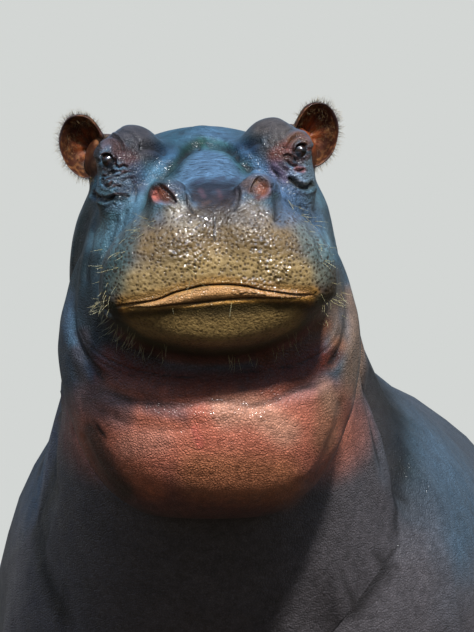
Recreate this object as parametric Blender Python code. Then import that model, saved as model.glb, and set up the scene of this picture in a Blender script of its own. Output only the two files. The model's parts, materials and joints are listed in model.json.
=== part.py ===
"""A common hippopotamus, life size, standing with its head raised: a still museum model.

Metres, +Z up. The animal faces -Y and its own left side is +X. The body is blocked out
in clay-like forms (lofted sections and balls), which a voxel Remesh joins into one skin.
Creases are pressed into that skin, and thin cuts then part it into the named pieces.
"""

import math

import bmesh
import bpy
import numpy as np
from mathutils import Matrix, Vector

# ---- driving dimensions ----
EYE_Z = 1.755  # eye level with the head raised
EYE_Y = -1.42  # how far the eyes are ahead of the body's middle
EYE_X = -0.030  # the raised head leans slightly to the animal's right
HEAD_PITCH, HEAD_ROLL, HEAD_YAW = (math.radians(a) for a in (8.0, -3.0, 6.8))
GAP = 0.0003  # between pieces that touch
VOXEL = 0.016
CLAY_TRIANGLES = 3700
SIDES = 32  # points round a section

HEAD = (
    Matrix.Translation((EYE_X, EYE_Y, EYE_Z))
    @ Matrix.Rotation(HEAD_YAW, 4, "Z")
    @ Matrix.Rotation(HEAD_ROLL, 4, "Y")
    @ Matrix.Rotation(HEAD_PITCH, 4, "X")
)
THROAT = Matrix.Translation((EYE_X, EYE_Y, EYE_Z)) @ Matrix.Rotation(HEAD_YAW, 4, "Z")
BODY = Matrix.Identity(4)
SIDES_OF_BODY = {"left": 1, "right": -1}

# Trunk sections along the body: y, top, bottom, half width, height of the widest point
TRUNK = [
    (-1.16, 1.00, 0.82, 0.12, 0.90),
    (-1.10, 1.14, 0.70, 0.26, 0.90),
    (-0.95, 1.34, 0.54, 0.40, 0.90),
    (-0.72, 1.42, 0.44, 0.47, 0.90),
    (-0.40, 1.370, 0.39, 0.53, 0.82),
    (-0.05, 1.315, 0.345, 0.58, 0.74),
    (0.30, 1.310, 0.335, 0.59, 0.73),
    (0.62, 1.315, 0.38, 0.555, 0.76),
    (0.88, 1.270, 0.46, 0.48, 0.80),
    (1.05, 1.170, 0.58, 0.37, 0.86),
    (1.14, 1.04, 0.72, 0.22, 0.90),
    (1.17, 0.97, 0.82, 0.10, 0.90),
]
# Neck sections, square to the neck's line: x, y, z, rise, drop, half width, lean of the section
NECK = [
    (-0.030, -1.36, 1.54, 0.18, 0.24, 0.20, 48),
    (-0.034, -1.22, 1.43, 0.32, 0.30, 0.25, 46),
    (-0.034, -1.05, 1.27, 0.36, 0.38, 0.30, 42),
    (-0.020, -0.88, 1.10, 0.40, 0.42, 0.37, 36),
    (0.000, -0.70, 0.98, 0.41, 0.44, 0.43, 22),
]
# Head sections, in the head's own frame: forward, top, bottom, half width, widest height,
# and how square the outline is above and below that height
SKULL = [
    (0.476, -0.110, -0.185, 0.095, -0.150, 2.2, 2.2),
    (0.468, -0.075, -0.205, 0.145, -0.162, 2.2, 2.4),
    (0.448, -0.048, -0.222, 0.180, -0.180, 2.2, 2.6),
    (0.410, -0.028, -0.236, 0.202, -0.196, 2.2, 2.6),
    (0.350, -0.018, -0.246, 0.208, -0.200, 2.1, 2.5),
    (0.280, -0.012, -0.262, 0.198, -0.204, 1.8, 2.3),
    (0.200, -0.008, -0.290, 0.188, -0.212, 1.65, 2.2),
    (0.100, 0.002, -0.340, 0.200, -0.225, 1.85, 2.1),
    (0.000, 0.016, -0.375, 0.226, -0.245, 2.05, 2.2),
    (-0.100, 0.030, -0.415, 0.244, -0.260, 2.2, 2.2),
    (-0.200, 0.024, -0.440, 0.246, -0.270, 2.2, 2.2),
    (-0.280, -0.020, -0.430, 0.215, -0.270, 2.2, 2.2),
    (-0.330, -0.080, -0.400, 0.160, -0.260, 2.1, 2.1),
]
JAW = [
    (0.454, -0.190, -0.238, 0.070, -0.212, 2.2, 2.0),
    (0.442, -0.170, -0.264, 0.125, -0.206, 2.2, 1.95),
    (0.415, -0.150, -0.283, 0.160, -0.202, 2.2, 1.95),
    (0.370, -0.140, -0.300, 0.180, -0.202, 2.2, 1.95),
    (0.300, -0.140, -0.322, 0.192, -0.212, 2.2, 2.0),
    (0.200, -0.140, -0.360, 0.206, -0.235, 2.2, 2.0),
    (0.080, -0.150, -0.405, 0.224, -0.265, 2.2, 2.0),
    (-0.050, -0.200, -0.430, 0.228, -0.290, 2.2, 2.0),
]
JOWL_X = 0.0125  # the raised head lets the jowls swing a little to the left
# Jowls and throat, level sections below the eyes: z, half width, front, back
JOWL = [
    (-0.125, 0.165, 0.080, 0.16),
    (-0.160, 0.222, 0.130, 0.20),
    (-0.200, 0.240, 0.172, 0.22),
    (-0.250, 0.256, 0.215, 0.26),
    (-0.300, 0.267, 0.245, 0.28),
    (-0.350, 0.271, 0.268, 0.28),
    (-0.400, 0.265, 0.282, 0.26),
    (-0.450, 0.255, 0.286, 0.24),
    (-0.500, 0.239, 0.276, 0.20),
    (-0.550, 0.217, 0.250, 0.16),
    (-0.600, 0.180, 0.205, 0.12),
    (-0.645, 0.115, 0.130, 0.08),
]
# Leg sections, level: z, y of the middle, half width, half depth, x of the middle
FORELEG = [
    (-0.040, -0.690, 0.118, 0.132, 0.300),
    (0.030, -0.690, 0.130, 0.145, 0.300),
    (0.090, -0.685, 0.124, 0.135, 0.300),
    (0.170, -0.672, 0.112, 0.118, 0.302),
    (0.280, -0.662, 0.116, 0.126, 0.304),
    (0.400, -0.658, 0.134, 0.152, 0.308),
    (0.520, -0.665, 0.155, 0.185, 0.314),
    (0.700, -0.700, 0.170, 0.215, 0.320),
    (0.900, -0.735, 0.150, 0.200, 0.310),
    (1.080, -0.740, 0.110, 0.150, 0.280),
]
HINDLEG = [
    (-0.040, 0.720, 0.110, 0.128, 0.300),
    (0.030, 0.720, 0.122, 0.138, 0.300),
    (0.090, 0.728, 0.114, 0.125, 0.300),
    (0.170, 0.748, 0.098, 0.108, 0.302),
    (0.270, 0.762, 0.104, 0.122, 0.306),
    (0.380, 0.752, 0.132, 0.170, 0.315),
    (0.500, 0.730, 0.160, 0.225, 0.325),
    (0.680, 0.710, 0.184, 0.268, 0.330),
    (0.880, 0.720, 0.172, 0.260, 0.320),
    (1.080, 0.740, 0.120, 0.190, 0.280),
]
# Tail sections, square to the tail's line: y, z, half width, half depth
TAIL = [
    (1.075, 1.070, 0.060, 0.055),
    (1.150, 1.035, 0.056, 0.046),
    (1.200, 0.955, 0.044, 0.034),
    (1.218, 0.865, 0.034, 0.024),
    (1.222, 0.785, 0.027, 0.016),
    (1.218, 0.720, 0.018, 0.009),
]
# Ear, from the back of the root over the rim and into the cup: share of the outline,
# how far ahead of the rim's plane, shift towards the head and shift down
EAR = [
    (0.30, -0.085, 0.016, 0.026),
    (0.42, -0.070, 0.012, 0.020),
    (0.68, -0.046, 0.006, 0.008),
    (0.90, -0.020, 0.000, 0.000),
    (1.00, -0.003, 0.000, 0.000),
    (0.97, 0.004, 0.000, 0.000),
    (0.87, -0.002, 0.000, 0.000),
    (0.66, -0.020, 0.002, 0.004),
    (0.34, -0.034, 0.004, 0.008),
]
EAR_HALF_WIDTH, EAR_HALF_HEIGHT = 0.039, 0.056

# Where one piece ends and the next begins: forward and up, in the head's frame
JAW_CUT = [(0.100, -0.300), (0.300, -0.335), (0.560, -0.350)]
# Outlines of the shoulder and haunch cuts: y, z
FORE_CUT = [
    (-0.920, 0.000), (-0.910, 0.300), (-0.930, 0.520), (-0.925, 0.760), (-0.860, 0.940),
    (-0.740, 1.010), (-0.610, 0.960), (-0.510, 0.800), (-0.465, 0.580), (-0.480, 0.360),
    (-0.490, 0.000),
]
HIND_CUT = [
    (0.490, 0.000), (0.500, 0.320), (0.450, 0.520), (0.420, 0.720), (0.480, 0.920),
    (0.620, 1.040), (0.780, 1.050), (0.910, 0.940), (0.990, 0.760), (1.010, 0.560),
    (0.950, 0.360), (0.930, 0.000),
]
CUT_INNER_X, CUT_OUTER_X = 0.105, 0.900
# Planes between head and neck, and neck and trunk: a point, then the way the front piece lies
HEAD_PLANE = (Vector((0, -1.14, 1.72)), Vector((0.08, -0.74, 0.67)))
NECK_PLANE = (Vector((0, -0.80, 1.42)), Vector((0.0, -0.78, 0.63)))

EYE_RADIUS = 0.0225
EYE_PLACE = Vector((0.165, -0.056, 0.003))  # in the head's frame
NOSTRIL_PLACE = Vector((0.082, -0.425, -0.014))
EAR_PLACE = Vector((0.211, 0.105, 0.010))
EAR_TURN = math.radians(14)  # outwards
MOUTH_Z, MOUTH_SAG = -0.177, 0.046  # lip line at the middle, and its fall at the corners
MOUTH_HALF_WIDTH, JAW_HALF_WIDTH = 0.170, 0.222
TOES = 4
FORE_FOOT_Y, HIND_FOOT_Y = -0.690, 0.720
FORE_SPREAD, HIND_SPREAD = 42, 40  # degrees between toes
# Toenail, from the floor up: height, half width, half depth
NAIL = [(0.000, 0.025, 0.018), (0.022, 0.027, 0.020), (0.042, 0.023, 0.015), (0.054, 0.012, 0.006)]
NAIL_SIDES = 8


def clear_scene():
    for obj in list(bpy.data.objects):
        bpy.data.objects.remove(obj)


# ---- clay tools ----
def eased(rows, count):
    """The table's rows read at count even steps along a smooth curve through them."""
    rows = np.array(rows, float)
    ends = np.vstack([2 * rows[0] - rows[1], rows, 2 * rows[-1] - rows[-2]])
    read = []
    for step in np.linspace(0, len(rows) - 1 - 1e-9, count):
        i, u = int(step), step % 1
        a, b, c, d = ends[i : i + 4]
        bend = 2 * a - 5 * b + 4 * c - d + u * (3 * (b - c) + d - a)
        read.append(b + 0.5 * u * (c - a + u * bend))
    return read


def section(centre, across, up, half_width, rise, drop, powers=(2.2, 2.2)):
    """A closed outline: half_width to the sides, rise towards up and drop the other way."""
    outline = []
    for k in range(SIDES):
        angle = math.tau * k / SIDES
        c, s = math.cos(angle), math.sin(angle)
        power = 2 / (powers[0] if s > 0 else powers[1])
        x = math.copysign(abs(c) ** power, c) * half_width
        z = math.copysign(abs(s) ** power, s) * (rise if s > 0 else drop)
        outline.append(centre + across * x + up * z)
    return outline


def mesh_object(name, bm):
    bmesh.ops.recalc_face_normals(bm, faces=bm.faces)
    mesh = bpy.data.meshes.new(name)
    bm.to_mesh(mesh)
    bm.free()
    obj = bpy.data.objects.new(name, mesh)
    bpy.context.scene.collection.objects.link(obj)
    return obj


def loft(name, outlines, place=BODY):
    """One closed form through a row of outlines."""
    bm = bmesh.new()
    rings = [[bm.verts.new(place @ p) for p in outline] for outline in outlines]
    for near, far in zip(rings, rings[1:]):
        for k in range(len(near)):
            n = (k + 1) % len(near)
            bm.faces.new((near[k], near[n], far[n]))
            bm.faces.new((near[k], far[n], far[k]))
    bm.faces.new(rings[0][::-1])
    bm.faces.new(rings[-1])
    return mesh_object(name, bm)


def ball(name, centre, radii, place=BODY, turn=(0, 0, 0), segments=24):
    """An ellipsoid, turned by Euler angles in degrees."""
    spin = Matrix.LocRotScale(Vector(centre), None, None)
    for angle, axis in zip(turn, "XYZ"):
        spin = spin @ Matrix.Rotation(math.radians(angle), 4, axis)
    bm = bmesh.new()
    scale = Matrix.Diagonal((*radii, 1))
    bmesh.ops.create_uvsphere(bm, u_segments=segments, v_segments=segments // 2,
                              radius=1, matrix=place @ spin @ scale)
    return mesh_object(name, bm)


X, Y, Z = Vector((1, 0, 0)), Vector((0, 1, 0)), Vector((0, 0, 1))


# ---- the forms ----
def trunk_clay():
    return loft("clay_trunk", [
        section(Vector((0, y, mid)), X, Z, wide, top - mid, mid - low, (2.05, 2.2))
        for y, top, low, wide, mid in eased(TRUNK, 34)
    ])


def neck_clay():
    outlines = []
    for x, y, z, rise, drop, wide, lean in eased(NECK, 12):
        up = Matrix.Rotation(-math.radians(lean), 3, "X") @ Z
        outlines.append(section(Vector((x, y, z)), X, up, wide, rise, drop))
    return loft("clay_neck", outlines)


def head_clay(name, table):
    return loft(name, [
        section(Vector((0, -ahead, mid)), X, Z, wide, top - mid, mid - low, (above, below))
        for ahead, top, low, wide, mid, above, below in eased(table, 34)
    ], HEAD)


def jowl_clay():
    return loft("clay_jowl", [
        section(Vector((JOWL_X, 0, z)), X, -Y, wide, front, back, (2.25, 2.0))
        for z, wide, front, back in eased(JOWL, 22)
    ], THROAT)


def leg_clay(name, table, side):
    return loft(name, [
        section(Vector((side * x, y, z)), X, -Y, wide, deep, deep)
        for z, y, wide, deep, x in eased(table, 24)
    ])


def tail_clay(name):
    rows = eased(TAIL, 8)
    outlines = []
    for i, (y, z, wide, deep) in enumerate(rows):
        ahead, behind = rows[min(i + 1, len(rows) - 1)], rows[max(i - 1, 0)]
        line = Vector((0, ahead[0] - behind[0], ahead[1] - behind[1])).normalized()
        outlines.append(section(Vector((0, y, z)), X, X.cross(line), wide, deep, deep)[::2])
    return loft(name, outlines)


def face_clay(name, side):
    """The lumps of one side of the face."""
    forms = {
        "lip_pad": ((0.105 * side, -0.375, -0.150), (0.098, 0.095, 0.085), (0, 8 * side, 0)),
        "nostril": ((0.080 * side, -0.378, -0.020), (0.036, 0.056, 0.034), (0, 0, -20 * side)),
        "brow": ((0.131 * side, -0.010, 0.004), (0.062, 0.095, 0.058), (0, 12 * side, 8 * side)),
        "lid": ((0.156 * side, -0.042, 0.003), (0.032, 0.036, 0.032), (0, 0, 0)),
        "ear_root": ((0.164 * side, 0.128, -0.022), (0.050, 0.062, 0.056), (0, 0, 0)),
    }
    return [ball(f"clay_{part}_{name}", *form[:2], HEAD, form[2])
            for part, form in forms.items()]


def toe_places(foot_y, side, spread):
    """Where the toes of one foot are, and which way each points."""
    for k in range(TOES):
        angle = math.radians((k - (TOES - 1) / 2) * spread)
        way = Vector((math.sin(angle), -math.cos(angle), 0))
        yield k, Vector((side * 0.300, foot_y, 0)), way


def toe_clay(name, foot_y, side, spread):
    toes = []
    for k, foot, way in toe_places(foot_y, side, spread):
        centre = foot + Vector((way.x * 0.104, way.y * 0.122, 0.032))
        turn = math.degrees(math.atan2(way.x, -way.y))
        toes.append(ball(f"clay_toe_{name}_{k}", centre, (0.036, 0.056, 0.046), turn=(0, 0, turn)))
    return toes


def join_clay(forms):
    """All the forms as one skin, a little softened."""
    with bpy.context.temp_override(active_object=forms[0], object=forms[0],
                                   selected_objects=forms, selected_editable_objects=forms):
        bpy.ops.object.join()
    skin = forms[0]
    skin.name = "skin"
    remesh = skin.modifiers.new("join", "REMESH")
    remesh.mode, remesh.voxel_size = "VOXEL", VOXEL
    smooth = skin.modifiers.new("soften", "SMOOTH")
    smooth.factor, smooth.iterations = 0.5, 8
    return applied(skin)


def applied(obj):
    """The object with its modifiers made real."""
    graph = bpy.context.evaluated_depsgraph_get()
    mesh = bpy.data.meshes.new_from_object(obj.evaluated_get(graph))
    obj.modifiers.clear()
    obj.data = mesh
    return obj


def press(points, place, centre, radii, push):
    """Moves the points round centre by push, fading to nothing at radii."""
    local = points @ np.array(place.inverted().to_3x3()).T + np.array(place.inverted().translation)
    reach = ((local - centre) / radii) ** 2
    fade = np.clip(1 - reach.sum(axis=1), 0, 1) ** 2
    points += fade[:, None] * np.array(place.to_3x3() @ Vector(push))


def sculpt(skin):
    """Hollows and swellings pressed into the clay."""
    points = np.empty(len(skin.data.vertices) * 3)
    skin.data.vertices.foreach_get("co", points)
    points = points.reshape(-1, 3)
    for side in SIDES_OF_BODY.values():
        press(points, HEAD, (0.105 * side, -0.120, 0.000), (0.070, 0.120, 0.080), (0, 0, -0.020))
        press(points, HEAD, (0.175 * side, -0.070, -0.075), (0.060, 0.090, 0.060),
              (-0.012 * side, 0, 0))
        press(points, HEAD, (0.190 * side, -0.200, -0.110), (0.080, 0.120, 0.100),
              (-0.016 * side, 0, 0))
    press(points, HEAD, (0, -0.010, 0.030), (0.090, 0.110, 0.080), (0, 0, -0.012))
    press(points, HEAD, (0.225, 0.030, -0.070), (0.080, 0.160, 0.130), (0.016, 0, 0))
    press(points, HEAD, (0, -0.480, -0.060), (0.035, 0.080, 0.075), (0, 0.010, 0))
    skin.data.vertices.foreach_set("co", points.ravel())


def thinned(skin):
    """Fewer faces on the body than on the face and feet."""
    group = skin.vertex_groups.new(name="plain")
    for vertex in skin.data.vertices:
        x, y, z = vertex.co
        face = min(1, max(0, (-1.20 - y) / 0.25)) if z > 1.1 else 0
        foot = min(1, max(0, (0.20 - z) / 0.10))
        group.add([vertex.index], 1 - 0.92 * max(face, 0.7 * foot), "REPLACE")
    thin = skin.modifiers.new("thin", "DECIMATE")
    thin.ratio = CLAY_TRIANGLES / (2 * len(skin.data.polygons))
    thin.vertex_group, thin.vertex_group_factor = "plain", 1.0
    return applied(skin)


# ---- cutting the skin into pieces ----
def copy_of(obj, name):
    other = bpy.data.objects.new(name, obj.data.copy())
    bpy.context.scene.collection.objects.link(other)
    return other


def cutter(obj):
    obj.hide_render = True
    obj.display_type = "WIRE"
    return obj


def cut(obj, tool, operation="DIFFERENCE"):
    change = obj.modifiers.new(tool.name, "BOOLEAN")
    change.object, change.operation, change.solver = tool, operation, "EXACT"


def split(obj, name, plane):
    """Parts obj at the plane: what lies ahead of it takes the name."""
    point, way = plane[0], plane[1].normalized()
    front = copy_of(obj, name)
    for piece, sign in ((front, -1), (obj, 1)):
        bm = bmesh.new()
        bm.from_mesh(piece.data)
        near = point - way * sign * GAP / 2
        result = bmesh.ops.bisect_plane(bm, geom=bm.verts[:] + bm.edges[:] + bm.faces[:],
                                        plane_co=near, plane_no=way * sign, clear_outer=True)
        rim = [e for e in result["geom_cut"] if isinstance(e, bmesh.types.BMEdge)]
        bmesh.ops.contextual_create(bm, geom=rim)
        bm.to_mesh(piece.data)
        bm.free()
    return front


def prism(name, outline, inner, outer, grow=0.0):
    """A side-on outline of (y, z) carried across from inner x to outer x.

    A grown one also goes below the floor, to take the clay under the soles away.
    """
    middle = Vector((sum(p[0] for p in outline), sum(p[1] for p in outline))) / len(outline)
    rings = [[], []]
    for y, z in outline:
        away = (Vector((y, z)) - middle).normalized() * grow
        for ring, x in zip(rings, (inner, outer)):
            up = away.y if z > 0 else -200 * grow
            ring.append(Vector((x, y + away.x, z + up)))
    return cutter(loft(name, rings))


def jaw_cutter(name, grow=0.0):
    """Everything between the lip line and a bow under the chin."""
    rings = []
    for x in np.linspace(-0.96, 0.96, 13) * JAW_HALF_WIDTH:
        top = MOUTH_Z - MOUTH_SAG * (x / MOUTH_HALF_WIDTH) ** 2
        depth = math.sqrt(1 - (x / JAW_HALF_WIDTH) ** 2)
        lip = [Vector((x, grow - JAW_CUT[0][0], top + grow)), Vector((x, -0.600, top + grow))]
        under = [Vector((x, (grow if ahead < 0.2 else 0) - ahead,
                         top + (z - MOUTH_Z) * depth - grow)) for ahead, z in reversed(JAW_CUT)]
        rings.append([Vector((p.x * (1 + grow / JAW_HALF_WIDTH), p.y, p.z))
                      for p in lip + under])
    return cutter(loft(name, rings, HEAD))


# ---- eyes, ears, nails ----
def eye(name, side, grow=0.0):
    centre = (EYE_PLACE.x * side, EYE_PLACE.y, EYE_PLACE.z)
    return ball(name, centre, [EYE_RADIUS + grow] * 3, HEAD, segments=14)


def ear(name, side, grow=0.0):
    """A deep cup with a rounded rim, open to the front."""
    place = HEAD @ Matrix.Translation((EAR_PLACE.x * side, EAR_PLACE.y, EAR_PLACE.z))
    place = place @ Matrix.Rotation(EAR_TURN * side, 4, "Z")
    outlines = []
    for share, ahead, inward, down in EAR:
        centre = Vector((-inward * side, -ahead, -down))
        outlines.append(section(centre, X, Z, EAR_HALF_WIDTH * share, EAR_HALF_HEIGHT * share,
                                EAR_HALF_HEIGHT * share, (2.0, 1.9))[::2])
    cup = loft(name, outlines, place)
    return grown(cup, grow)


def nail(name, foot, way, grow=0.0):
    """A blunt hoof-like nail at the front of a toe. A grown one clears the toe ahead of it."""
    middle = foot + Vector((way.x * 0.147, way.y * 0.165, 0))
    across = Vector((-way.y, way.x, 0))
    ahead = 0.030 if grow else 0.0
    outlines = []
    for z, wide, deep in NAIL:
        centre = middle + way * (0.004 - 0.20 * z) + Z * (z if z else -10 * grow)
        outlines.append(section(centre, across, way, wide, deep + ahead, deep,
                                (2.6, 2.0))[:: SIDES // NAIL_SIDES])
    return grown(loft(name, outlines), grow)


def grown(obj, grow):
    """The piece swollen along its normals."""
    for vertex in obj.data.vertices if grow else ():
        vertex.co += vertex.normal * 1.5 * grow
    return obj


# ---- materials ----
COLOURS = {
    "head": (0.205, 0.185, 0.160), "lower_jaw": (0.260, 0.190, 0.110),
    "ear": (0.230, 0.105, 0.055), "eye": (0.020, 0.012, 0.008),
    "neck": (0.330, 0.170, 0.130), "trunk": (0.130, 0.135, 0.140),
    "tail": (0.120, 0.120, 0.120), "leg": (0.170, 0.135, 0.120),
    "nail": (0.110, 0.085, 0.065),
}
ROUGHNESS = {"eye": 0.10, "nail": 0.45}


def paint(obj, kind):
    material = bpy.data.materials.new(f"{obj.name}_surface")
    material.use_nodes = True
    shader = material.node_tree.nodes["Principled BSDF"]
    shader.inputs["Base Color"].default_value = (*COLOURS[kind], 1)
    shader.inputs["Roughness"].default_value = ROUGHNESS.get(kind, 0.38)
    shader.inputs["Metallic"].default_value = 0.0
    obj.data.materials.clear()
    obj.data.materials.append(material)


def shade(obj):
    for polygon in obj.data.polygons:
        polygon.use_smooth = True


def centre_on_origin(pieces):
    """Slides everything along the floor so the animal's box stands on the origin."""
    corners = np.array([vertex.co for obj in pieces for vertex in obj.data.vertices])
    middle = (corners.min(axis=0) + corners.max(axis=0)) / 2
    slide = Matrix.Translation((-middle[0], -middle[1], 0))
    for obj in bpy.data.objects:
        obj.data.transform(slide)


# ---- the animal ----
def build_skin():
    forms = [trunk_clay(), neck_clay(), head_clay("clay_skull", SKULL),
             head_clay("clay_jaw", JAW), jowl_clay()]
    for name, side in SIDES_OF_BODY.items():
        forms += [leg_clay(f"clay_fore_{name}", FORELEG, side),
                  leg_clay(f"clay_hind_{name}", HINDLEG, side)]
        forms += face_clay(name, side)
        forms += toe_clay(f"fore_{name}", FORE_FOOT_Y, side, FORE_SPREAD)
        forms += toe_clay(f"hind_{name}", HIND_FOOT_Y, side, HIND_SPREAD)
    skin = join_clay(forms)
    sculpt(skin)
    return thinned(skin)


def build_head(skin):
    head = split(skin, "head", HEAD_PLANE)
    jaw = copy_of(head, "lower_jaw")
    cut(jaw, jaw_cutter("jaw_cut"), "INTERSECT")
    cut(head, jaw_cutter("jaw_clearance", GAP))
    pieces = {"head": [head], "lower_jaw": [jaw], "eye": [], "ear": []}
    for name, side in SIDES_OF_BODY.items():
        pieces["eye"].append(eye(f"eye_{name}", side))
        pieces["ear"].append(ear(f"ear_{name}", side))
        cut(head, cutter(eye(f"eye_clearance_{name}", side, GAP)))
        cut(head, cutter(ear(f"ear_clearance_{name}", side, GAP)))
        place = (NOSTRIL_PLACE.x * side, NOSTRIL_PLACE.y, NOSTRIL_PLACE.z)
        cut(head, cutter(ball(f"nostril_{name}", place, (0.015, 0.045, 0.017), HEAD,
                              (12, 0, -16 * side), 10)))
    return pieces


def build_legs(trunk):
    pieces = {"leg": [], "nail": []}
    for pair, outline, foot_y, spread in (("front", FORE_CUT, FORE_FOOT_Y, FORE_SPREAD),
                                          ("hind", HIND_CUT, HIND_FOOT_Y, HIND_SPREAD)):
        for name, side in SIDES_OF_BODY.items():
            leg = copy_of(trunk, f"{pair}_{name}_leg")
            span = (CUT_INNER_X * side, CUT_OUTER_X * side)
            cut(leg, prism(f"{leg.name}_cut", outline, *span), "INTERSECT")
            for k, foot, way in toe_places(foot_y, side, spread):
                label = f"{pair}_{name}_nail_{k + 1}"
                cut(leg, cutter(nail(f"{label}_clearance", foot, way, GAP)))
                pieces["nail"].append(nail(label, foot, way))
            pieces["leg"].append(leg)
            span = (CUT_INNER_X * side - GAP * side, CUT_OUTER_X * side)
            cut(trunk, prism(f"{leg.name}_clearance", outline, *span, GAP))
    return pieces


def main():
    clear_scene()
    skin = build_skin()
    pieces = build_head(skin)
    trunk = skin
    neck = split(trunk, "neck", NECK_PLANE)
    trunk.name = "trunk"
    pieces.update(build_legs(trunk))
    cut(trunk, cutter(grown(tail_clay("tail_clearance"), GAP)))
    pieces.update(neck=[neck], trunk=[trunk], tail=[tail_clay("tail")])
    centre_on_origin([trunk, pieces["head"][0], pieces["tail"][0]])
    for kind, made in pieces.items():
        for obj in made:
            shade(obj)
            paint(obj, kind)


main()
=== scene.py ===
# A common hippopotamus, life size, standing with its head raised: the fine outer model.
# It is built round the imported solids. Metres, +Z up; the animal faces -Y, its left is +X.
import json
import math
import random
from functools import partial

import bmesh
import bpy
import numpy as np
from mathutils import Matrix, Vector
from mathutils.kdtree import KDTree

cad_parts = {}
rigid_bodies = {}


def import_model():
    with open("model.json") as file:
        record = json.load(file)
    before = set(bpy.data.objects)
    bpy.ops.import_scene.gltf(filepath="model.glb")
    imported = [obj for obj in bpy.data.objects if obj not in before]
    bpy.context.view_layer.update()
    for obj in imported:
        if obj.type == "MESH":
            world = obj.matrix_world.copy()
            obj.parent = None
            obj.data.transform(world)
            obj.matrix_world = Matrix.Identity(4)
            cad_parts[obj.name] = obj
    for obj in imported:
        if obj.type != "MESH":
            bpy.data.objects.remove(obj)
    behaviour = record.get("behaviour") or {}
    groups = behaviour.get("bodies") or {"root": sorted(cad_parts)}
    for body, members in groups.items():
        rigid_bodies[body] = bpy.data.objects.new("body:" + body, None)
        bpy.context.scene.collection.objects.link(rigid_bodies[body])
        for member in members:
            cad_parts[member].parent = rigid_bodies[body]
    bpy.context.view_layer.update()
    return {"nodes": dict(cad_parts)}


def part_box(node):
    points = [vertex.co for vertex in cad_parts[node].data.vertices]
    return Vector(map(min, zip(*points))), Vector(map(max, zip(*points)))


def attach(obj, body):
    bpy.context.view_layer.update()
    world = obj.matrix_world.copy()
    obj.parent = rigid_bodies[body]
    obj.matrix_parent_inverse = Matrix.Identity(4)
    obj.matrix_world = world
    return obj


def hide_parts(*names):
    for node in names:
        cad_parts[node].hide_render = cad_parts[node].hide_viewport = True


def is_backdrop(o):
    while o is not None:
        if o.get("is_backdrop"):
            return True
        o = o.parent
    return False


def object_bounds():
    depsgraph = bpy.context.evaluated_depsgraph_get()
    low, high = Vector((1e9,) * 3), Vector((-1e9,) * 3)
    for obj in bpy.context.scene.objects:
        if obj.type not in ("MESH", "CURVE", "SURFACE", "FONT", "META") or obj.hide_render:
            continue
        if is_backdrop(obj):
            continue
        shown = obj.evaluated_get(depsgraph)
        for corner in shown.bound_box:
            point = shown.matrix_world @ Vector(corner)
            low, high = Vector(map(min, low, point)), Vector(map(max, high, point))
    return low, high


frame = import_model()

xAxis, yAxis, zAxis = Vector((1, 0, 0)), Vector((0, 1, 0)), Vector((0, 0, 1))
bothSides = {"left": 1, "right": -1}  # the animal's own left is +X

# where the parts of the head are
head = {
    "eyeLevel": 1.755, "eyesAhead": -1.42, "lean": -0.030,
    "pitch": 8.0, "roll": -3.0, "yaw": 6.8,  # degrees
    "eye": Vector((0.165, -0.056, 0.003)),  # in the head's own frame, for the left side
    "eyeRadius": 0.0225,
    "nostril": Vector((0.082, -0.425, -0.014)),
    "ear": Vector((0.211, 0.105, 0.010)),
}


def turned(angle, axis):
    return Matrix.Rotation(math.radians(angle), 4, axis)


headOrigin = Matrix.Translation((head["lean"], head["eyesAhead"], head["eyeLevel"]))
headTurn = turned(head["yaw"], "Z") @ turned(head["roll"], "Y") @ turned(head["pitch"], "X")
low, high = (Vector(corner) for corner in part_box("eye_left"))
shift = Matrix.Translation((low + high) / 2 - headOrigin @ headTurn @ head["eye"])
bodyPlace = shift
headPlace = shift @ headOrigin @ headTurn
throatPlace = shift @ headOrigin @ turned(head["yaw"], "Z")


# clay: lofted sections and balls, joined by a remesh
def eased(rows, count):
    # the table's rows read at count even steps along a smooth curve through them
    rows = np.array(rows, float)
    ends = np.vstack([2 * rows[0] - rows[1], rows, 2 * rows[-1] - rows[-2]])
    read = []
    for step in np.linspace(0, len(rows) - 1 - 1e-9, count):
        i, u = int(step), step % 1
        a, b, c, d = ends[i : i + 4]
        bend = 2 * a - 5 * b + 4 * c - d + u * (3 * (b - c) + d - a)
        read.append(b + 0.5 * u * (c - a + u * bend))
    return read


def section(centre, across, up, halfWidth, rise, drop, powers=(2.2, 2.2), sides=48):
    outline = []
    for k in range(sides):
        angle = math.tau * k / sides
        c, s = math.cos(angle), math.sin(angle)
        power = 2 / (powers[0] if s > 0 else powers[1])
        x = math.copysign(abs(c) ** power, c) * halfWidth
        z = math.copysign(abs(s) ** power, s) * (rise if s > 0 else drop)
        outline.append(centre + across * x + up * z)
    return outline


def addLoft(bm, outlines, place):
    rings = [[bm.verts.new(place @ p) for p in outline] for outline in outlines]
    faces = []
    for near, far in zip(rings, rings[1:]):
        for k in range(len(near)):
            n = (k + 1) % len(near)
            faces.append(bm.faces.new((near[k], near[n], far[n], far[k])))
    faces += [bm.faces.new(rings[0][::-1]), bm.faces.new(rings[-1])]
    bmesh.ops.recalc_face_normals(bm, faces=faces)
    return rings


def addBall(bm, centre, radii, place, turn=(0, 0, 0), segments=32):
    spin = Matrix.Translation(centre)
    for angle, axis in zip(turn, "XYZ"):
        spin = spin @ turned(angle, axis)
    return bmesh.ops.create_uvsphere(bm, u_segments=segments, v_segments=segments // 2, radius=1,
                                     matrix=place @ spin @ Matrix.Diagonal((*radii, 1)))["verts"]


def finishObject(name, bm):
    mesh = bpy.data.meshes.new(name)
    bm.to_mesh(mesh)
    bm.free()
    obj = bpy.data.objects.new(name, mesh)
    bpy.context.scene.collection.objects.link(obj)
    return obj


def applied(obj):
    graph = bpy.context.evaluated_depsgraph_get()
    mesh = bpy.data.meshes.new_from_object(obj.evaluated_get(graph))
    obj.modifiers.clear()
    obj.data = mesh
    return obj


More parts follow.
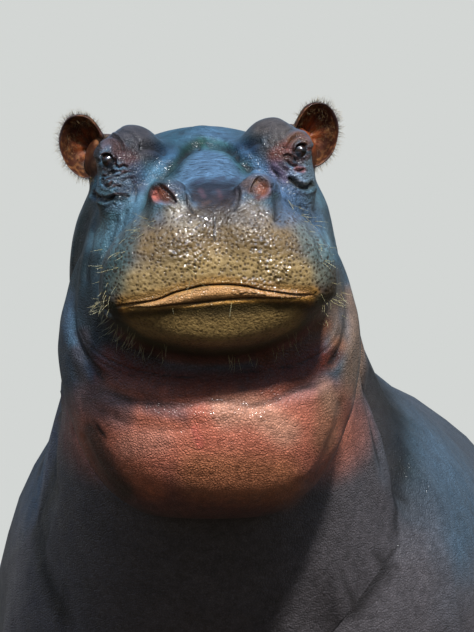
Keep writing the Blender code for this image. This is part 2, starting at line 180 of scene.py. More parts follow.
# the body's sections, as the solids have them
body = {
    # y, top, bottom, half width, height of the widest point
    "trunk": [
        (-1.16, 1.00, 0.82, 0.12, 0.90), (-1.10, 1.14, 0.70, 0.26, 0.90),
        (-0.95, 1.34, 0.54, 0.40, 0.90), (-0.72, 1.42, 0.44, 0.47, 0.90),
        (-0.40, 1.370, 0.39, 0.53, 0.82), (-0.05, 1.315, 0.345, 0.58, 0.74),
        (0.30, 1.310, 0.335, 0.59, 0.73), (0.62, 1.315, 0.38, 0.555, 0.76),
        (0.88, 1.270, 0.46, 0.48, 0.80), (1.05, 1.170, 0.58, 0.37, 0.86),
        (1.14, 1.04, 0.72, 0.22, 0.90), (1.17, 0.97, 0.82, 0.10, 0.90),
    ],
    "trunkPowers": (2.05, 2.2),  # squareness above and below
    # x, y, z, rise, drop, half width, lean
    "neck": [
        (-0.030, -1.36, 1.54, 0.18, 0.24, 0.20, 48), (-0.034, -1.22, 1.43, 0.32, 0.30, 0.25, 46),
        (-0.034, -1.05, 1.27, 0.36, 0.38, 0.30, 42), (-0.020, -0.88, 1.10, 0.40, 0.42, 0.37, 36),
        (0.000, -0.70, 0.98, 0.41, 0.44, 0.43, 22),
    ],
    # forward, top, bottom, half width, widest height, squareness above and below
    "skull": [
        (0.476, -0.110, -0.185, 0.095, -0.150, 2.2, 2.2),
        (0.468, -0.075, -0.205, 0.145, -0.162, 2.2, 2.4),
        (0.448, -0.048, -0.222, 0.180, -0.180, 2.2, 2.6),
        (0.410, -0.028, -0.236, 0.202, -0.196, 2.2, 2.6),
        (0.350, -0.018, -0.246, 0.208, -0.200, 2.1, 2.5),
        (0.280, -0.012, -0.262, 0.198, -0.204, 1.8, 2.3),
        (0.200, -0.008, -0.290, 0.188, -0.212, 1.65, 2.2),
        (0.100, 0.002, -0.340, 0.200, -0.225, 1.85, 2.1),
        (0.000, 0.016, -0.375, 0.226, -0.245, 2.05, 2.2),
        (-0.100, 0.030, -0.415, 0.244, -0.260, 2.2, 2.2),
        (-0.200, 0.024, -0.440, 0.246, -0.270, 2.2, 2.2),
        (-0.280, -0.020, -0.430, 0.215, -0.270, 2.2, 2.2),
        (-0.330, -0.080, -0.400, 0.160, -0.260, 2.1, 2.1),
    ],
    "jaw": [
        (0.454, -0.190, -0.238, 0.070, -0.212, 2.2, 2.0),
        (0.442, -0.170, -0.264, 0.125, -0.206, 2.2, 1.95),
        (0.415, -0.150, -0.283, 0.160, -0.202, 2.2, 1.95),
        (0.370, -0.140, -0.300, 0.180, -0.202, 2.2, 1.95),
        (0.300, -0.140, -0.322, 0.192, -0.212, 2.2, 2.0),
        (0.200, -0.140, -0.360, 0.206, -0.235, 2.2, 2.0),
        (0.080, -0.150, -0.405, 0.224, -0.265, 2.2, 2.0),
        (-0.050, -0.200, -0.430, 0.228, -0.290, 2.2, 2.0),
    ],
    # level sections below the eyes: z, half width, front, back
    "jowl": [
        (-0.125, 0.165, 0.080, 0.16), (-0.160, 0.222, 0.130, 0.20), (-0.200, 0.240, 0.172, 0.22),
        (-0.250, 0.256, 0.215, 0.26), (-0.300, 0.267, 0.245, 0.28), (-0.350, 0.271, 0.268, 0.28),
        (-0.400, 0.265, 0.282, 0.26),
        (-0.450, 0.255, 0.286, 0.24), (-0.500, 0.239, 0.276, 0.20), (-0.550, 0.217, 0.250, 0.16),
        (-0.600, 0.180, 0.205, 0.12), (-0.645, 0.115, 0.130, 0.08),
    ],
    "jowlPowers": (2.25, 2.0),  # squareness in front and behind
    "jowlShift": 0.0125,  # the raised head lets the jowls swing a little to the left
    # level sections: z, y, half width, half depth, x
    "foreleg": [
        (-0.040, -0.690, 0.118, 0.132, 0.300), (0.030, -0.690, 0.130, 0.145, 0.300),
        (0.090, -0.685, 0.124, 0.135, 0.300), (0.170, -0.672, 0.112, 0.118, 0.302),
        (0.280, -0.662, 0.116, 0.126, 0.304), (0.400, -0.658, 0.134, 0.152, 0.308),
        (0.520, -0.665, 0.155, 0.185, 0.314), (0.700, -0.700, 0.170, 0.215, 0.320),
        (0.900, -0.735, 0.150, 0.200, 0.310), (1.080, -0.740, 0.110, 0.150, 0.280),
    ],
    "hindleg": [
        (-0.040, 0.720, 0.110, 0.128, 0.300), (0.030, 0.720, 0.122, 0.138, 0.300),
        (0.090, 0.728, 0.114, 0.125, 0.300), (0.170, 0.748, 0.098, 0.108, 0.302),
        (0.270, 0.762, 0.104, 0.122, 0.306), (0.380, 0.752, 0.132, 0.170, 0.315),
        (0.500, 0.730, 0.160, 0.225, 0.325), (0.680, 0.710, 0.184, 0.268, 0.330),
        (0.880, 0.720, 0.172, 0.260, 0.320), (1.080, 0.740, 0.120, 0.190, 0.280),
    ],
    # y, z, half width, half depth
    "tail": [
        (1.075, 1.070, 0.060, 0.055), (1.150, 1.035, 0.056, 0.046), (1.200, 0.955, 0.044, 0.034),
        (1.218, 0.865, 0.034, 0.024), (1.222, 0.785, 0.027, 0.016), (1.218, 0.720, 0.018, 0.009),
    ],
    # one side of the face: centre, radii, turn in degrees
    "faceLumps": [
        ((0.105, -0.375, -0.150), (0.098, 0.095, 0.085), (0, 8, 0)),  # upper lip
        ((0.080, -0.378, -0.020), (0.036, 0.056, 0.034), (0, 0, -20)),  # nostril mound
        ((0.131, -0.010, 0.004), (0.062, 0.095, 0.058), (0, 12, 8)),  # brow
        ((0.156, -0.042, 0.003), (0.032, 0.036, 0.032), (0, 0, 0)),  # lids
        ((0.148, -0.045, -0.062), (0.050, 0.060, 0.060), (0, 0, 0)),  # under the eye
        ((0.164, 0.128, -0.022), (0.050, 0.062, 0.056), (0, 0, 0)),  # root of the ear
    ],
    # y of the foot, degrees between toes
    "feet": {"foreleg": (-0.690, 42), "hindleg": (0.720, 40)}, "footX": 0.300,
    "toes": 4, "toeReach": (0.104, 0.122), "toeHeight": 0.032, "toeRadii": (0.036, 0.056, 0.046),
    "voxel": 0.007,
    "softening": 42, "tailFrom": 1.10, "tailFade": 0.06, "tailShare": 0.1,  # the tail softens less
    # for thinning: how far back the head's faces are kept, and how plain a foot is
    "headEnds": 0.16, "headFade": 0.12, "headFloor": 1.02, "footTop": 0.14, "footShare": 0.25,
    "bodyTriangles": 46000, "skinTriangles": 192000,
}
# broad dents and swells: centre, reach and push, in m
sidePresses = [  # for the head's left side; its right side has them mirrored
    ((0.105, -0.120, 0.000), (0.070, 0.120, 0.080), (0, 0, -0.020)),  # hollow ahead of the eye
    ((0.190, -0.200, -0.110), (0.080, 0.120, 0.100), (-0.016, 0, 0)),  # waist of the face
    ((0.163, 0.000, 0.046), (0.034, 0.070, 0.040), (0, 0, -0.007)),  # brow's top
]
onePresses = [  # these are made once
    (headPlace, (0, -0.010, 0.030), (0.090, 0.110, 0.080), (0, 0, -0.012)),  # forehead
    (headPlace, (0.005, 0.090, 0.040), (0.050, 0.080, 0.050), (0, 0, 0.008)),  # crown
    (headPlace, (0.225, 0.030, -0.070), (0.080, 0.160, 0.130), (0.016, 0, 0)),  # left cheek
    (bodyPlace, (0.330, -0.740, 1.270), (0.200, 0.350, 0.220), (-0.006, 0, -0.012)),  # shoulder
    (headPlace, (0, -0.480, -0.060), (0.035, 0.080, 0.075), (0, 0.010, 0)),  # middle of the muzzle
]


def toePlaces(footY, side, spread):
    for k in range(body["toes"]):
        angle = math.radians((k - (body["toes"] - 1) / 2) * spread)
        way = Vector((math.sin(angle), -math.cos(angle), 0))
        yield Vector((side * body["footX"], footY, 0)), way


def addTrunk(bm):
    addLoft(bm, [section(Vector((0, y, mid)), xAxis, zAxis, wide, top - mid, mid - low,
                         body["trunkPowers"])
                 for y, top, low, wide, mid in eased(body["trunk"], 60)], bodyPlace)


def addNeck(bm):
    outlines = []
    for x, y, z, rise, drop, wide, lean in eased(body["neck"], 24):
        up = turned(-lean, "X").to_3x3() @ zAxis
        outlines.append(section(Vector((x, y, z)), xAxis, up, wide, rise, drop))
    addLoft(bm, outlines, bodyPlace)


def addSkull(bm, rows):
    addLoft(bm, [section(Vector((0, -ahead, mid)), xAxis, zAxis, wide, top - mid, mid - low,
                         (over, under))
                 for ahead, top, low, wide, mid, over, under in eased(rows, 60)], headPlace)


def addJowl(bm):
    addLoft(bm, [section(Vector((body["jowlShift"], 0, z)), xAxis, -yAxis, wide, front, back,
                         body["jowlPowers"])
                 for z, wide, front, back in eased(body["jowl"], 44)], throatPlace)


def addLeg(bm, rows, side):
    addLoft(bm, [section(Vector((side * x, y, z)), xAxis, -yAxis, wide, deep, deep)
                 for z, y, wide, deep, x in eased(rows, 50)], bodyPlace)


def addTail(bm):
    rows = eased(body["tail"], 40)
    outlines = []
    for i, (y, z, wide, deep) in enumerate(rows):
        ahead, behind = rows[min(i + 1, len(rows) - 1)], rows[max(i - 1, 0)]
        line = Vector((0, ahead[0] - behind[0], ahead[1] - behind[1])).normalized()
        outlines.append(section(Vector((0, y, z)), xAxis, xAxis.cross(line), wide, deep, deep,
                                sides=32))
    addLoft(bm, outlines, bodyPlace)


def buildClay():
    bm = bmesh.new()
    addTrunk(bm)
    addNeck(bm)
    addSkull(bm, body["skull"])
    addSkull(bm, body["jaw"])
    addJowl(bm)
    addTail(bm)
    for side in bothSides.values():
        for (x, y, z), radii, (a, b, c) in body["faceLumps"]:
            addBall(bm, (x * side, y, z), radii, headPlace, (a, b * side, c * side))
        for leg, (footY, spread) in body["feet"].items():
            addLeg(bm, body[leg], side)
            for foot, way in toePlaces(footY, side, spread):
                across, along = body["toeReach"]
                centre = foot + Vector((way.x * across, way.y * along, body["toeHeight"]))
                turn = math.degrees(math.atan2(way.x, -way.y))
                addBall(bm, centre, body["toeRadii"], bodyPlace, (0, 0, turn))
    clay = finishObject("hide", bm)
    join = clay.modifiers.new("join", "REMESH")
    join.mode, join.voxel_size = "VOXEL", body["voxel"]
    return applied(clay)


# moving the skin's points
def readPoints(mesh):
    points = np.empty(len(mesh.vertices) * 3)
    mesh.vertices.foreach_get("co", points)
    return points.reshape(-1, 3)


def writePoints(mesh, points):
    mesh.vertices.foreach_set("co", points.ravel())
    mesh.update()


def readNormals(mesh):
    normals = np.empty(len(mesh.vertices) * 3)
    mesh.vertex_normals.foreach_get("vector", normals)
    return normals.reshape(-1, 3)


def readEdges(mesh):
    edges = np.empty(len(mesh.edges) * 2, int)
    mesh.edges.foreach_get("vertices", edges)
    return edges.reshape(-1, 2)


def localTo(points, place):
    back = np.array(place.inverted())
    return points @ back[:3, :3].T + back[:3, 3]


def relax(points, edges, times, share=1.0):
    # evens the points out; share says how much of the move each one takes
    a, b = edges.T
    count = len(points)
    degree = np.maximum(np.bincount(a, minlength=count) + np.bincount(b, minlength=count), 1)
    share = np.broadcast_to(np.asarray(share, float), (count,))
    for _ in range(times):
        mean = np.stack([np.bincount(a, points[b, c], count) + np.bincount(b, points[a, c], count)
                         for c in range(3)], axis=1) / degree[:, None]
        points += (0.5 * share)[:, None] * (mean - points)


def press(points, place, centre, radii, push):
    # moves the points round centre by push, fading to nothing at radii
    reach = (((localTo(points, place) - centre) / radii) ** 2).sum(axis=1)
    fade = np.clip(1 - reach, 0, 1) ** 2
    points += fade[:, None] * np.array(place.to_3x3() @ Vector(push))


def ramp(values, start, end):
    # 0 at start, 1 at end, eased
    t = np.clip((values - start) / (end - start), 0, 1)
    return t * t * (3 - 2 * t)


def pressBroadShapes(points):
    for side in bothSides.values():
        for (x, y, z), radii, (pushX, pushY, pushZ) in sidePresses:
            press(points, headPlace, (x * side, y, z), radii, (pushX * side, pushY, pushZ))
    for place, centre, radii, push in onePresses:
        press(points, place, centre, radii, push)


def loopCounts(mesh):
    counts = np.empty(len(mesh.polygons), int)
    mesh.polygons.foreach_get("loop_total", counts)
    return counts


def thinBody(skin):
    # the head keeps every face, the feet keep more than the trunk
    points = readPoints(skin.data)
    back = localTo(points, headPlace)[:, 1]
    plain = np.clip((back - body["headEnds"]) / body["headFade"], 0, 1)
    plain[points[:, 2] < body["headFloor"]] = 1
    plain[points[:, 2] < body["footTop"]] = body["footShare"]
    group = skin.vertex_groups.new(name="plain")
    for weight in np.unique(np.round(plain, 2)):
        group.add(np.flatnonzero(np.round(plain, 2) == weight).tolist(), float(weight), "REPLACE")
    counts = loopCounts(skin.data)
    first = np.empty(len(skin.data.polygons), int)
    skin.data.polygons.foreach_get("loop_start", first)
    corners = np.empty(len(skin.data.loops), int)
    skin.data.loops.foreach_get("vertex_index", corners)
    kept = (plain[corners[first]] < 0.01).sum() * 2
    total = (counts - 2).sum()
    thin = skin.modifiers.new("thin", "DECIMATE")
    thin.ratio = (kept + body["bodyTriangles"]) / total
    thin.vertex_group, thin.vertex_group_factor = "plain", 1.0
    return applied(skin)


def sliceSoles(skin):
    # everything under the floor goes, which leaves a flat sole on each foot
    bm = bmesh.new()
    bm.from_mesh(skin.data)
    cut = bmesh.ops.bisect_plane(bm, geom=bm.verts[:] + bm.edges[:] + bm.faces[:],
                                 plane_co=(0, 0, 0), plane_no=(0, 0, -1), clear_outer=True)
    rim = [e for e in cut["geom_cut"] if isinstance(e, bmesh.types.BMEdge)]
    bmesh.ops.holes_fill(bm, edges=rim)
    bm.to_mesh(skin.data)
    bm.free()


# ears
earShape = {
    "halfWidth": 0.042, "halfHeight": 0.0585, "turn": 14,  # degrees outwards
    # share of the full outline, how far ahead, inward and down: root, rim, then down into the cup
    "rings": [
        (0.28, -0.100, 0.018, 0.030), (0.42, -0.070, 0.012, 0.020), (0.68, -0.046, 0.006, 0.008),
        (0.90, -0.020, 0.000, 0.000), (0.985, -0.008, 0.000, 0.000), (1.000, -0.002, 0.000, 0.000),
        (0.985, 0.003, 0.000, 0.000), (0.950, 0.003, 0.000, 0.000), (0.915, -0.002, 0.000, 0.000),
        (0.860, -0.010, 0.000, 0.001), (0.740, -0.023, 0.001, 0.003), (0.540, -0.034, 0.003, 0.006),
        (0.320, -0.042, 0.005, 0.009), (0.100, -0.046, 0.006, 0.011),
    ],
    "ribs": 9, "ribTwist": 2.2, "ribHeight": 0.0014,  # the folds inside the cup
    "flapAngle": (2.0, 0.75), "flapShare": (0.80, 0.10),  # the rolled fold: where and how wide
    "flapHeight": 0.0045,
    "tipLean": 0.006, "waves": (0.012, 0.008),
    "rows": 64, "sides": 80,
}


def earPlace(side):
    spot = Matrix.Translation((head["ear"].x * side, head["ear"].y, head["ear"].z))
    return headPlace @ spot @ turned(earShape["turn"] * side, "Z")


def earPoint(ring, step, angle, side):
    # one point of the ear; step runs 0 at the root, 0.55 at the rim, 1 deep in the cup
    share, ahead, inward, down = ring
    c, s = math.cos(angle), math.sin(angle)
    inside = max(0.0, min(1.0, (step - 0.60) / 0.12))
    lean = earShape["tipLean"] * s * share
    fold = 1.0
    for value, (middle, reach) in ((angle, earShape["flapAngle"]), (share, earShape["flapShare"])):
        fold *= math.exp(-(((value - middle) / reach) ** 2))
    ribs = math.sin(earShape["ribs"] * angle + earShape["ribTwist"] * share)
    ribs = ribs * share * (1 - share) * 4
    ahead += inside * (earShape["flapHeight"] * fold + earShape["ribHeight"] * ribs)
    broad, small = earShape["waves"]
    wave = 1 + broad * math.sin(3 * angle + 0.7) + small * math.sin(7 * angle)
    x = c * earShape["halfWidth"] * share * wave + lean
    z = math.copysign(abs(s) ** 1.02, s) * earShape["halfHeight"] * share * wave
    return Vector(((x - inward) * side, -ahead, z - down))


def buildEars():
    bm = bmesh.new()
    sides = earShape["sides"]
    rings = eased(earShape["rings"], earShape["rows"])
    for side in bothSides.values():
        outlines = [[earPoint(ring, i / (len(rings) - 1), math.tau * k / sides, side)
                     for k in range(sides)] for i, ring in enumerate(rings)]
        addLoft(bm, outlines, earPlace(side))
    return finishObject("ears", bm)


def joinOn(skin, extra):
    union = skin.modifiers.new("union", "BOOLEAN")
    union.object, union.operation, union.solver = extra, "UNION", "EXACT"
    applied(skin)
    bpy.data.objects.remove(extra)


# fine modelling of the face
front = {  # the front view that the face's lines are laid out in: mm across and up from the eyes
    "distance": 8.0, "azimuth": 4.0, "aside": 0.06139, "below": 0.11922,
    "tilt": math.atan(96 / 4496), "centreUp": -290.04,
}
frontTurn = math.radians(front["azimuth"])
frontRight = Vector((math.cos(frontTurn), math.sin(frontTurn), 0))
frontAhead = Vector((-frontRight.y, frontRight.x, 0))
frontEye = (shift @ headOrigin).translation
frontSpot = frontEye - frontAhead * front["distance"] + frontRight * front["aside"]
frontSpot -= zAxis * front["below"]
frontLook = (frontAhead * math.cos(front["tilt"]) - zAxis * math.sin(front["tilt"])).normalized()
frontUp = frontRight.cross(frontLook)


def frontMap(points):
    # mm across, mm up and metres of depth behind the eyes, in the front view
    away = points - np.array(frontSpot)
    depth = away @ np.array(frontLook)
    scale = 1000 * front["distance"] / depth
    across = away @ np.array(frontRight) * scale + 1000 * front["aside"]
    up = away @ np.array(frontUp) * scale + front["centreUp"]
    return np.stack([across, up], axis=1), depth - front["distance"]


def distanceTo(flat, line, reach):
    # how far each point is from a smooth line, and how far along it (0 to 1); only near ones
    spots = np.array(eased(line, 12 * len(line)) if len(line) > 1 else line, float)
    low, high = spots.min(axis=0) - reach, spots.max(axis=0) + reach
    near = np.flatnonzero(((flat > low) & (flat < high)).all(axis=1))
    away = np.full(len(near), 1e9)
    along = np.full(len(near), 0.5)
    p = flat[near]
    if len(spots) == 1:
        return near, np.linalg.norm(p - spots[0], axis=1), along
    for k, (a, b) in enumerate(zip(spots, spots[1:])):
        way = b - a
        t = np.clip(((p - a) @ way) / max(way @ way, 1e-12), 0, 1)
        gap = np.linalg.norm(p - a - t[:, None] * way, axis=1)
        closer = gap < away
        away[closer] = gap[closer]
        along[closer] = (k + t[closer]) / (len(spots) - 1)
    return near, away, along


def outsideOf(flat, outline, reach):
    # how far each nearby point is outside a closed outline, below 0 inside it
    closed = outline + outline[:1]
    near, away, _ = distanceTo(flat, closed, reach)
    spots = eased(closed, 12 * len(closed))
    x, y = flat[near].T
    inside = np.zeros(len(near), bool)
    for (ax, ay), (bx, by) in zip(spots, spots[1:]):
        crosses = (ay > y) != (by > y)
        inside ^= crosses & (x < (bx - ax) * (y - ay) / (by - ay + 1e-12) + ax)
    return near, np.where(inside, -away, away)


def carve(points, normals, flat, mask, line, width, depth, ridge=0.0, blunt=0.12):
    # a crease along line: width and depth in mm, with a low ridge on both sides
    near, away, along = distanceTo(flat, line, 5 * width)
    ends = ramp(np.minimum(along, 1 - along), 0, blunt) if blunt else 1
    groove = np.exp(-((away / width) ** 2)) * depth
    bank = np.exp(-(((away - 2.0 * width) / (1.1 * width)) ** 2)) * ridge
    push = (bank - groove) * ends * mask[near] / 1000
    points[near] += normals[near] * push[:, None]


# lines of the face: mm across and up in the front view, then width, depth and ridge in mm
faceLines = [
    ([(-161, -274), (-143, -272), (-111, -267), (-76, -260), (-49, -249), (-22, -242), (-1, -237),
      (26, -235), (52, -235), (79, -238), (106, -244), (141, -249), (177, -253),
      (206, -253)], 2.1, 7.0, 1.2),  # mouth
    ([(-147, -276), (-93, -274), (-49, -270), (-4, -267), (40, -262), (85, -258), (138, -258),
      (198, -256)], 2.4, 4.5, 0.6),  # foot of the lip
    ([(20, -110), (22, -125), (20, -141), (22, -162)], 1.6, 2.8, 0.6),  # middle of the muzzle
    ([(6, 12), (-15, 11), (-33, -2), (-49, -18), (-67, -36),
      (-83, -53)], 7.0, 9.0, 2.6),  # beside the bridge
    ([(-1, 12), (31, 12), (56, 0), (76, -20), (90, -36)], 6.5, 8.0, 2.6),
    ([(-83, -60), (-95, -77), (-101, -98), (-104, -123)], 7.0, 6.0, 1.0),
    ([(120, -55), (131, -75), (134, -101), (129, -126)], 6.0, 6.0, 1.0),
    ([(-19, -20), (4, -14), (31, -16), (54, -23)], 2.4, 1.3, 0.5),  # wrinkles across the bridge
    ([(-33, -32), (-4, -27), (20, -30), (45, -27), (67, -36)], 2.4, 1.4, 0.5),
    ([(-22, -44), (3, -39), (24, -44), (52, -39)], 2.4, 1.2, 0.5),
    ([(-35, -62), (-28, -78), (-24, -94), (-15, -110)], 2.4, 3.4, 1.2),  # beside the nostrils
    ([(65, -59), (65, -77), (61, -93), (54, -105)], 2.4, 3.0, 1.2),
    ([(-190, 7), (-184, 20), (-173, 28), (-161, 30), (-150, 25), (-143, 12),
      (-141, -2)], 3.0, 4.4, 2.2),  # over the right eye
    ([(-170, 39), (-157, 39), (-145, 32), (-134, 20)], 2.4, 1.6, 0.8),
    ([(-156, -18), (-150, -27), (-141, -23), (-131, -27)], 2.4, 4.2, 1.6),
    ([(-179, -43), (-168, -39), (-157, -34), (-143, -32)], 2.4, 3.4, 1.6),
    ([(-177, -44), (-177, -55), (-168, -60), (-159, -50)], 2.2, 5.0, 1.6),
    ([(-163, -62), (-154, -59), (-143, -60)], 2.4, 4.0, 1.6),
    ([(-154, -43), (-138, -36), (-120, -32)], 2.2, 1.6, 0.8),
    ([(-149, -53), (-133, -46), (-115, -44)], 2.2, 1.4, 0.8),
    ([(-197, -69), (-186, -80), (-172, -84), (-156, -77)], 3.5, 11.0, 2.6),  # pouch under it
    ([(-166, -78), (-150, -75), (-127, -77)], 2.2, 5.0, 1.8),
    ([(150, 5), (154, 16), (163, 27), (173, 32), (184, 30),
      (191, 21)], 2.8, 3.8, 2.0),  # over the left eye
    ([(143, 30), (156, 41), (172, 43)], 2.4, 1.5, 0.8),
    ([(143, -7), (152, -4), (161, -9), (168, -16)], 2.6, 4.2, 1.6),
    ([(149, -14), (159, -23), (173, -23), (184, -18)], 2.4, 2.8, 1.4),
    ([(165, -28), (173, -32), (182, -28)], 3.0, 5.5, 1.8),
    ([(131, -16), (145, -27), (159, -39)], 2.2, 1.6, 0.8),
    ([(122, -30), (140, -44), (156, -59)], 2.2, 1.5, 0.8),
    ([(150, -41), (163, -50), (175, -60), (188, -62), (198, -52)], 4.0, 11.0, 3.0),
    ([(-197, -94), (-207, -123), (-218, -158), (-225, -194), (-232, -237), (-234, -272),
      (-230, -315), (-214, -354), (-193, -386), (-168, -415)], 8.0, 7.0, 2.4),  # edge of the jowl
    ([(216, -91), (230, -126), (239, -165), (250, -198), (259, -244), (261, -288), (254, -329),
      (239, -363), (220, -390)], 8.0, 6.0, 2.4),
    ([(-150, -105), (-159, -141), (-173, -180), (-184, -222),
      (-188, -262)], 5.0, 4.0, 1.6),  # folds down the cheeks
    ([(-186, -109), (-195, -151), (-204, -194), (-206, -237)], 4.5, 3.0, 1.4),
    ([(-134, -98), (-143, -130), (-149, -165)], 4.0, 2.6, 1.0),
    ([(170, -87), (186, -119), (204, -155), (213, -194)], 5.0, 4.0, 1.6),
    ([(145, -80), (163, -101), (181, -130)], 4.0, 3.0, 1.2),
    ([(195, -94), (211, -130), (223, -169)], 4.5, 3.0, 1.2),
    ([(-129, -44), (-118, -66), (-122, -91)], 4.0, 2.4, 1.0),
    ([(120, -23), (134, -44), (138, -69)], 4.0, 2.4, 1.0),
    ([(-115, 9), (-97, 11), (-79, 7), (-61, -4)], 7.0, 6.5, 1.6),  # hollows behind the brows
    ([(106, 23), (88, 18), (72, 7), (56, -4)], 7.0, 6.5, 1.6),
    ([(-140, 23), (-127, 11), (-122, -5)], 2.6, 1.8, 0.8),  # furrows of the brows
    ([(-125, 36), (-113, 23), (-108, 5)], 2.6, 1.6, 0.8),
    ([(117, 44), (113, 27), (122, 9)], 2.6, 0.9, 0.5),
    ([(134, 52), (133, 34), (140, 16)], 2.6, 0.8, 0.4),
    ([(-47, 34), (-4, 41), (42, 34)], 4.0, 2.0, 0.8),
    ([(-36, 23), (-4, 27), (31, 21)], 3.0, 1.5, 0.5),
]
faceSwells = [  # the same for raised folds: width and height
    ([(-92, -89), (-90, -73), (-81, -60), (-69, -53), (-52, -52), (-38, -60), (-29, -77),
      (-26, -93)], 7.0, 4.5),  # hoods of the nostrils
    ([(63, -84), (65, -60), (77, -48), (95, -41), (109, -48), (120, -62), (122, -78)], 7.0, 4.5),
    ([(-125, -272), (-76, -267), (-31, -258), (4, -251), (40, -247), (85, -249), (138, -253),
      (184, -254)], 8.0, 5.5),  # lower lip
    ([(-184, 12), (-173, 18), (-161, 18), (-150, 9)], 6.0, 1.5),  # upper lids
    ([(157, 21), (168, 27), (181, 25)], 5.0, 1.0),
    ([(-175, 41), (-161, 46), (-143, 48)], 8.0, -3.0),  # dip behind the right brow
    ([(-93, 0), (-61, -12), (-29, 5)], 9.0, 1.5),
]

# folds of the throat, neck and shoulders, laid out in the same view
throatLines = [
    ([(-222, -301), (-207, -335), (-175, -363), (-129, -384), (-61, -397),
      (4, -400)], 2.6, 1.3, 0.8),
    ([(246, -301), (232, -336), (202, -361), (157, -379), (102, -388), (40, -393)], 2.6, 1.3, 0.8),
    ([(255, -315), (243, -354), (214, -381), (166, -400), (106, -411)], 2.6, 1.1, 0.7),
    ([(-211, -354), (-186, -383), (-143, -407), (-85, -422), (-22, -425)], 2.8, 1.2, 0.7),
    ([(-214, -326), (-193, -361), (-154, -386), (-93, -404)], 2.2, 0.9, 0.6),
    ([(-191, -411), (-154, -431), (-102, -445), (-49, -448), (-1, -443), (45, -441), (85, -448),
      (124, -440), (165, -422), (209, -409), (234, -386)], 10.0, 1.8, 2.4),
    ([(-197, -447), (-147, -475), (-76, -493), (-4, -486)], 9.0, 1.2, 0.8),
    ([(248, -425), (245, -475), (227, -521), (206, -568), (173, -600)], 9.0, 4.0, 2.0),
    ([(-190, -477), (-184, -491), (-173, -505)], 3.0, 1.2, 0.8),  # old scar
    ([(-218, -493), (-197, -543), (-168, -585), (-111, -626)], 7.0, 4.0, 2.0),
    ([(-22, -484), (-15, -502), (-3, -521)], 2.6, 1.2, 0.6),
]
shoulderLines = [
    ([(291, -377), (305, -422), (325, -475), (341, -528), (355, -582),
      (366, -653)], 17.0, 26.0, 7.0),
    ([(369, -457), (394, -502), (419, -555), (440, -617), (455, -724)], 12.0, 8.0, 5.0),
    ([(-248, -425), (-257, -466), (-264, -511), (-268, -564), (-271, -653)], 14.0, 12.0, 5.0),
    ([(-275, -475), (-286, -528), (-296, -600)], 14.0, 7.0, 4.0),
]


# folds laid out from the side: mm back and up, then width, depth and ridge in mm
bodyLines = [
    ([(-1080, 1640), (-1130, 1440), (-1100, 1270), (-1060, 1110)], 22, 9, 5),  # neck
    ([(-960, 1560), (-1000, 1400), (-985, 1240), (-930, 1080)], 24, 8, 5),
    ([(-880, 1460), (-900, 1300), (-885, 1150), (-840, 1010)], 24, 5, 3),
    ([(-700, 800), (-640, 700), (-570, 610), (-520, 500)], 24, 12, 6),  # behind the elbow
    ([(-600, 860), (-540, 740), (-490, 640)], 26, 6, 4),
    ([(690, 640), (630, 560), (580, 480), (560, 420)], 24, 12, 6),  # in front of the thigh
    ([(600, 700), (540, 610), (500, 540)], 28, 6, 4),
    ([(830, 560), (900, 480), (900, 400)], 24, 6, 4),  # behind the thigh
    ([(-830, 250), (-760, 222), (-690, 216), (-620, 226), (-560, 252)], 18, 6, 4),  # ankles
    ([(-820, 330), (-740, 305), (-660, 300), (-580, 318)], 20, 4, 3),
    ([(600, 250), (680, 222), (760, 216), (830, 236), (880, 262)], 18, 6, 4),
    ([(640, 350), (720, 320), (800, 318), (860, 340)], 20, 4, 3),
    ([(990, 1130), (1020, 1040), (1010, 930)], 22, 7, 4),  # beside the tail
]
mouthSides = [
    ([(-400, -212), (-345, -222), (-280, -225), (-225, -216), (-180, -200), (-150, -180)], 5, 8, 3),
]


def lumps(points, size, seed):
    # smooth random lumps between -1 and 1, size metres apart: the big odd numbers only scramble
    # each cell's place into a height of its own
    p = points / size + seed * 17.31
    cell = np.floor(p).astype(int)
    f = p - cell
    f = f * f * (3 - 2 * f)
    total = np.zeros(len(points))
    for corner in range(8):
        offset = np.array([corner & 1, corner >> 1 & 1, corner >> 2])
        c = cell + offset
        mix = (c[:, 0] * 73856093) ^ (c[:, 1] * 19349663) ^ (c[:, 2] * 83492791) ^ (seed * 2654435)
        value = (((mix * 1103515245 + 12345) >> 8) & 0xFFFF) / 32767.5 - 1
        weight = np.where(offset, f, 1 - f).prod(axis=1)
        total += value * weight
    return total


# eyes: the lids are fitted round each eyeball
eyeShape = {
    "gaze": Vector((0.45, -0.89, 0.04)),  # for the left side, in the head's frame
    # the opening between the lids: mm outwards and up across the gaze
    "opening": [(-6, 14), (0, 13.5), (4.5, 11), (5, 5), (3, -2), (0, -8), (-4, -14), (-7.5, -15.5),
                (-11, -12), (-14, -6), (-15, 1), (-14.5, 8), (-11.5, 12)],
    "upperLid": 8.0, "lowerLid": 2.4,  # thickness in mm
    "upperEdge": 2.4, "lowerEdge": 4.0,  # width of the rounded edges in mm
    "play": 0.4, "blend": (40, 52), "behind": -16, "soft": 5.0, "tuck": 6.0, "clear": 60.0,  # mm
    "cornea": 0.0030,  # m
}


def eyeFrame(side):
    # the eyeball's centre, with +Z along its gaze
    gaze = Vector((eyeShape["gaze"].x * side, *eyeShape["gaze"].yz)).normalized()
    gaze = headPlace.to_3x3() @ gaze
    centre = headPlace @ Vector((head["eye"].x * side, head["eye"].y, head["eye"].z))
    up = headPlace.to_3x3() @ zAxis
    across = up.cross(gaze).normalized()
    up = gaze.cross(across)
    spin = Matrix((across, up, gaze)).transposed()
    return Matrix.Translation(centre) @ spin.to_4x4()


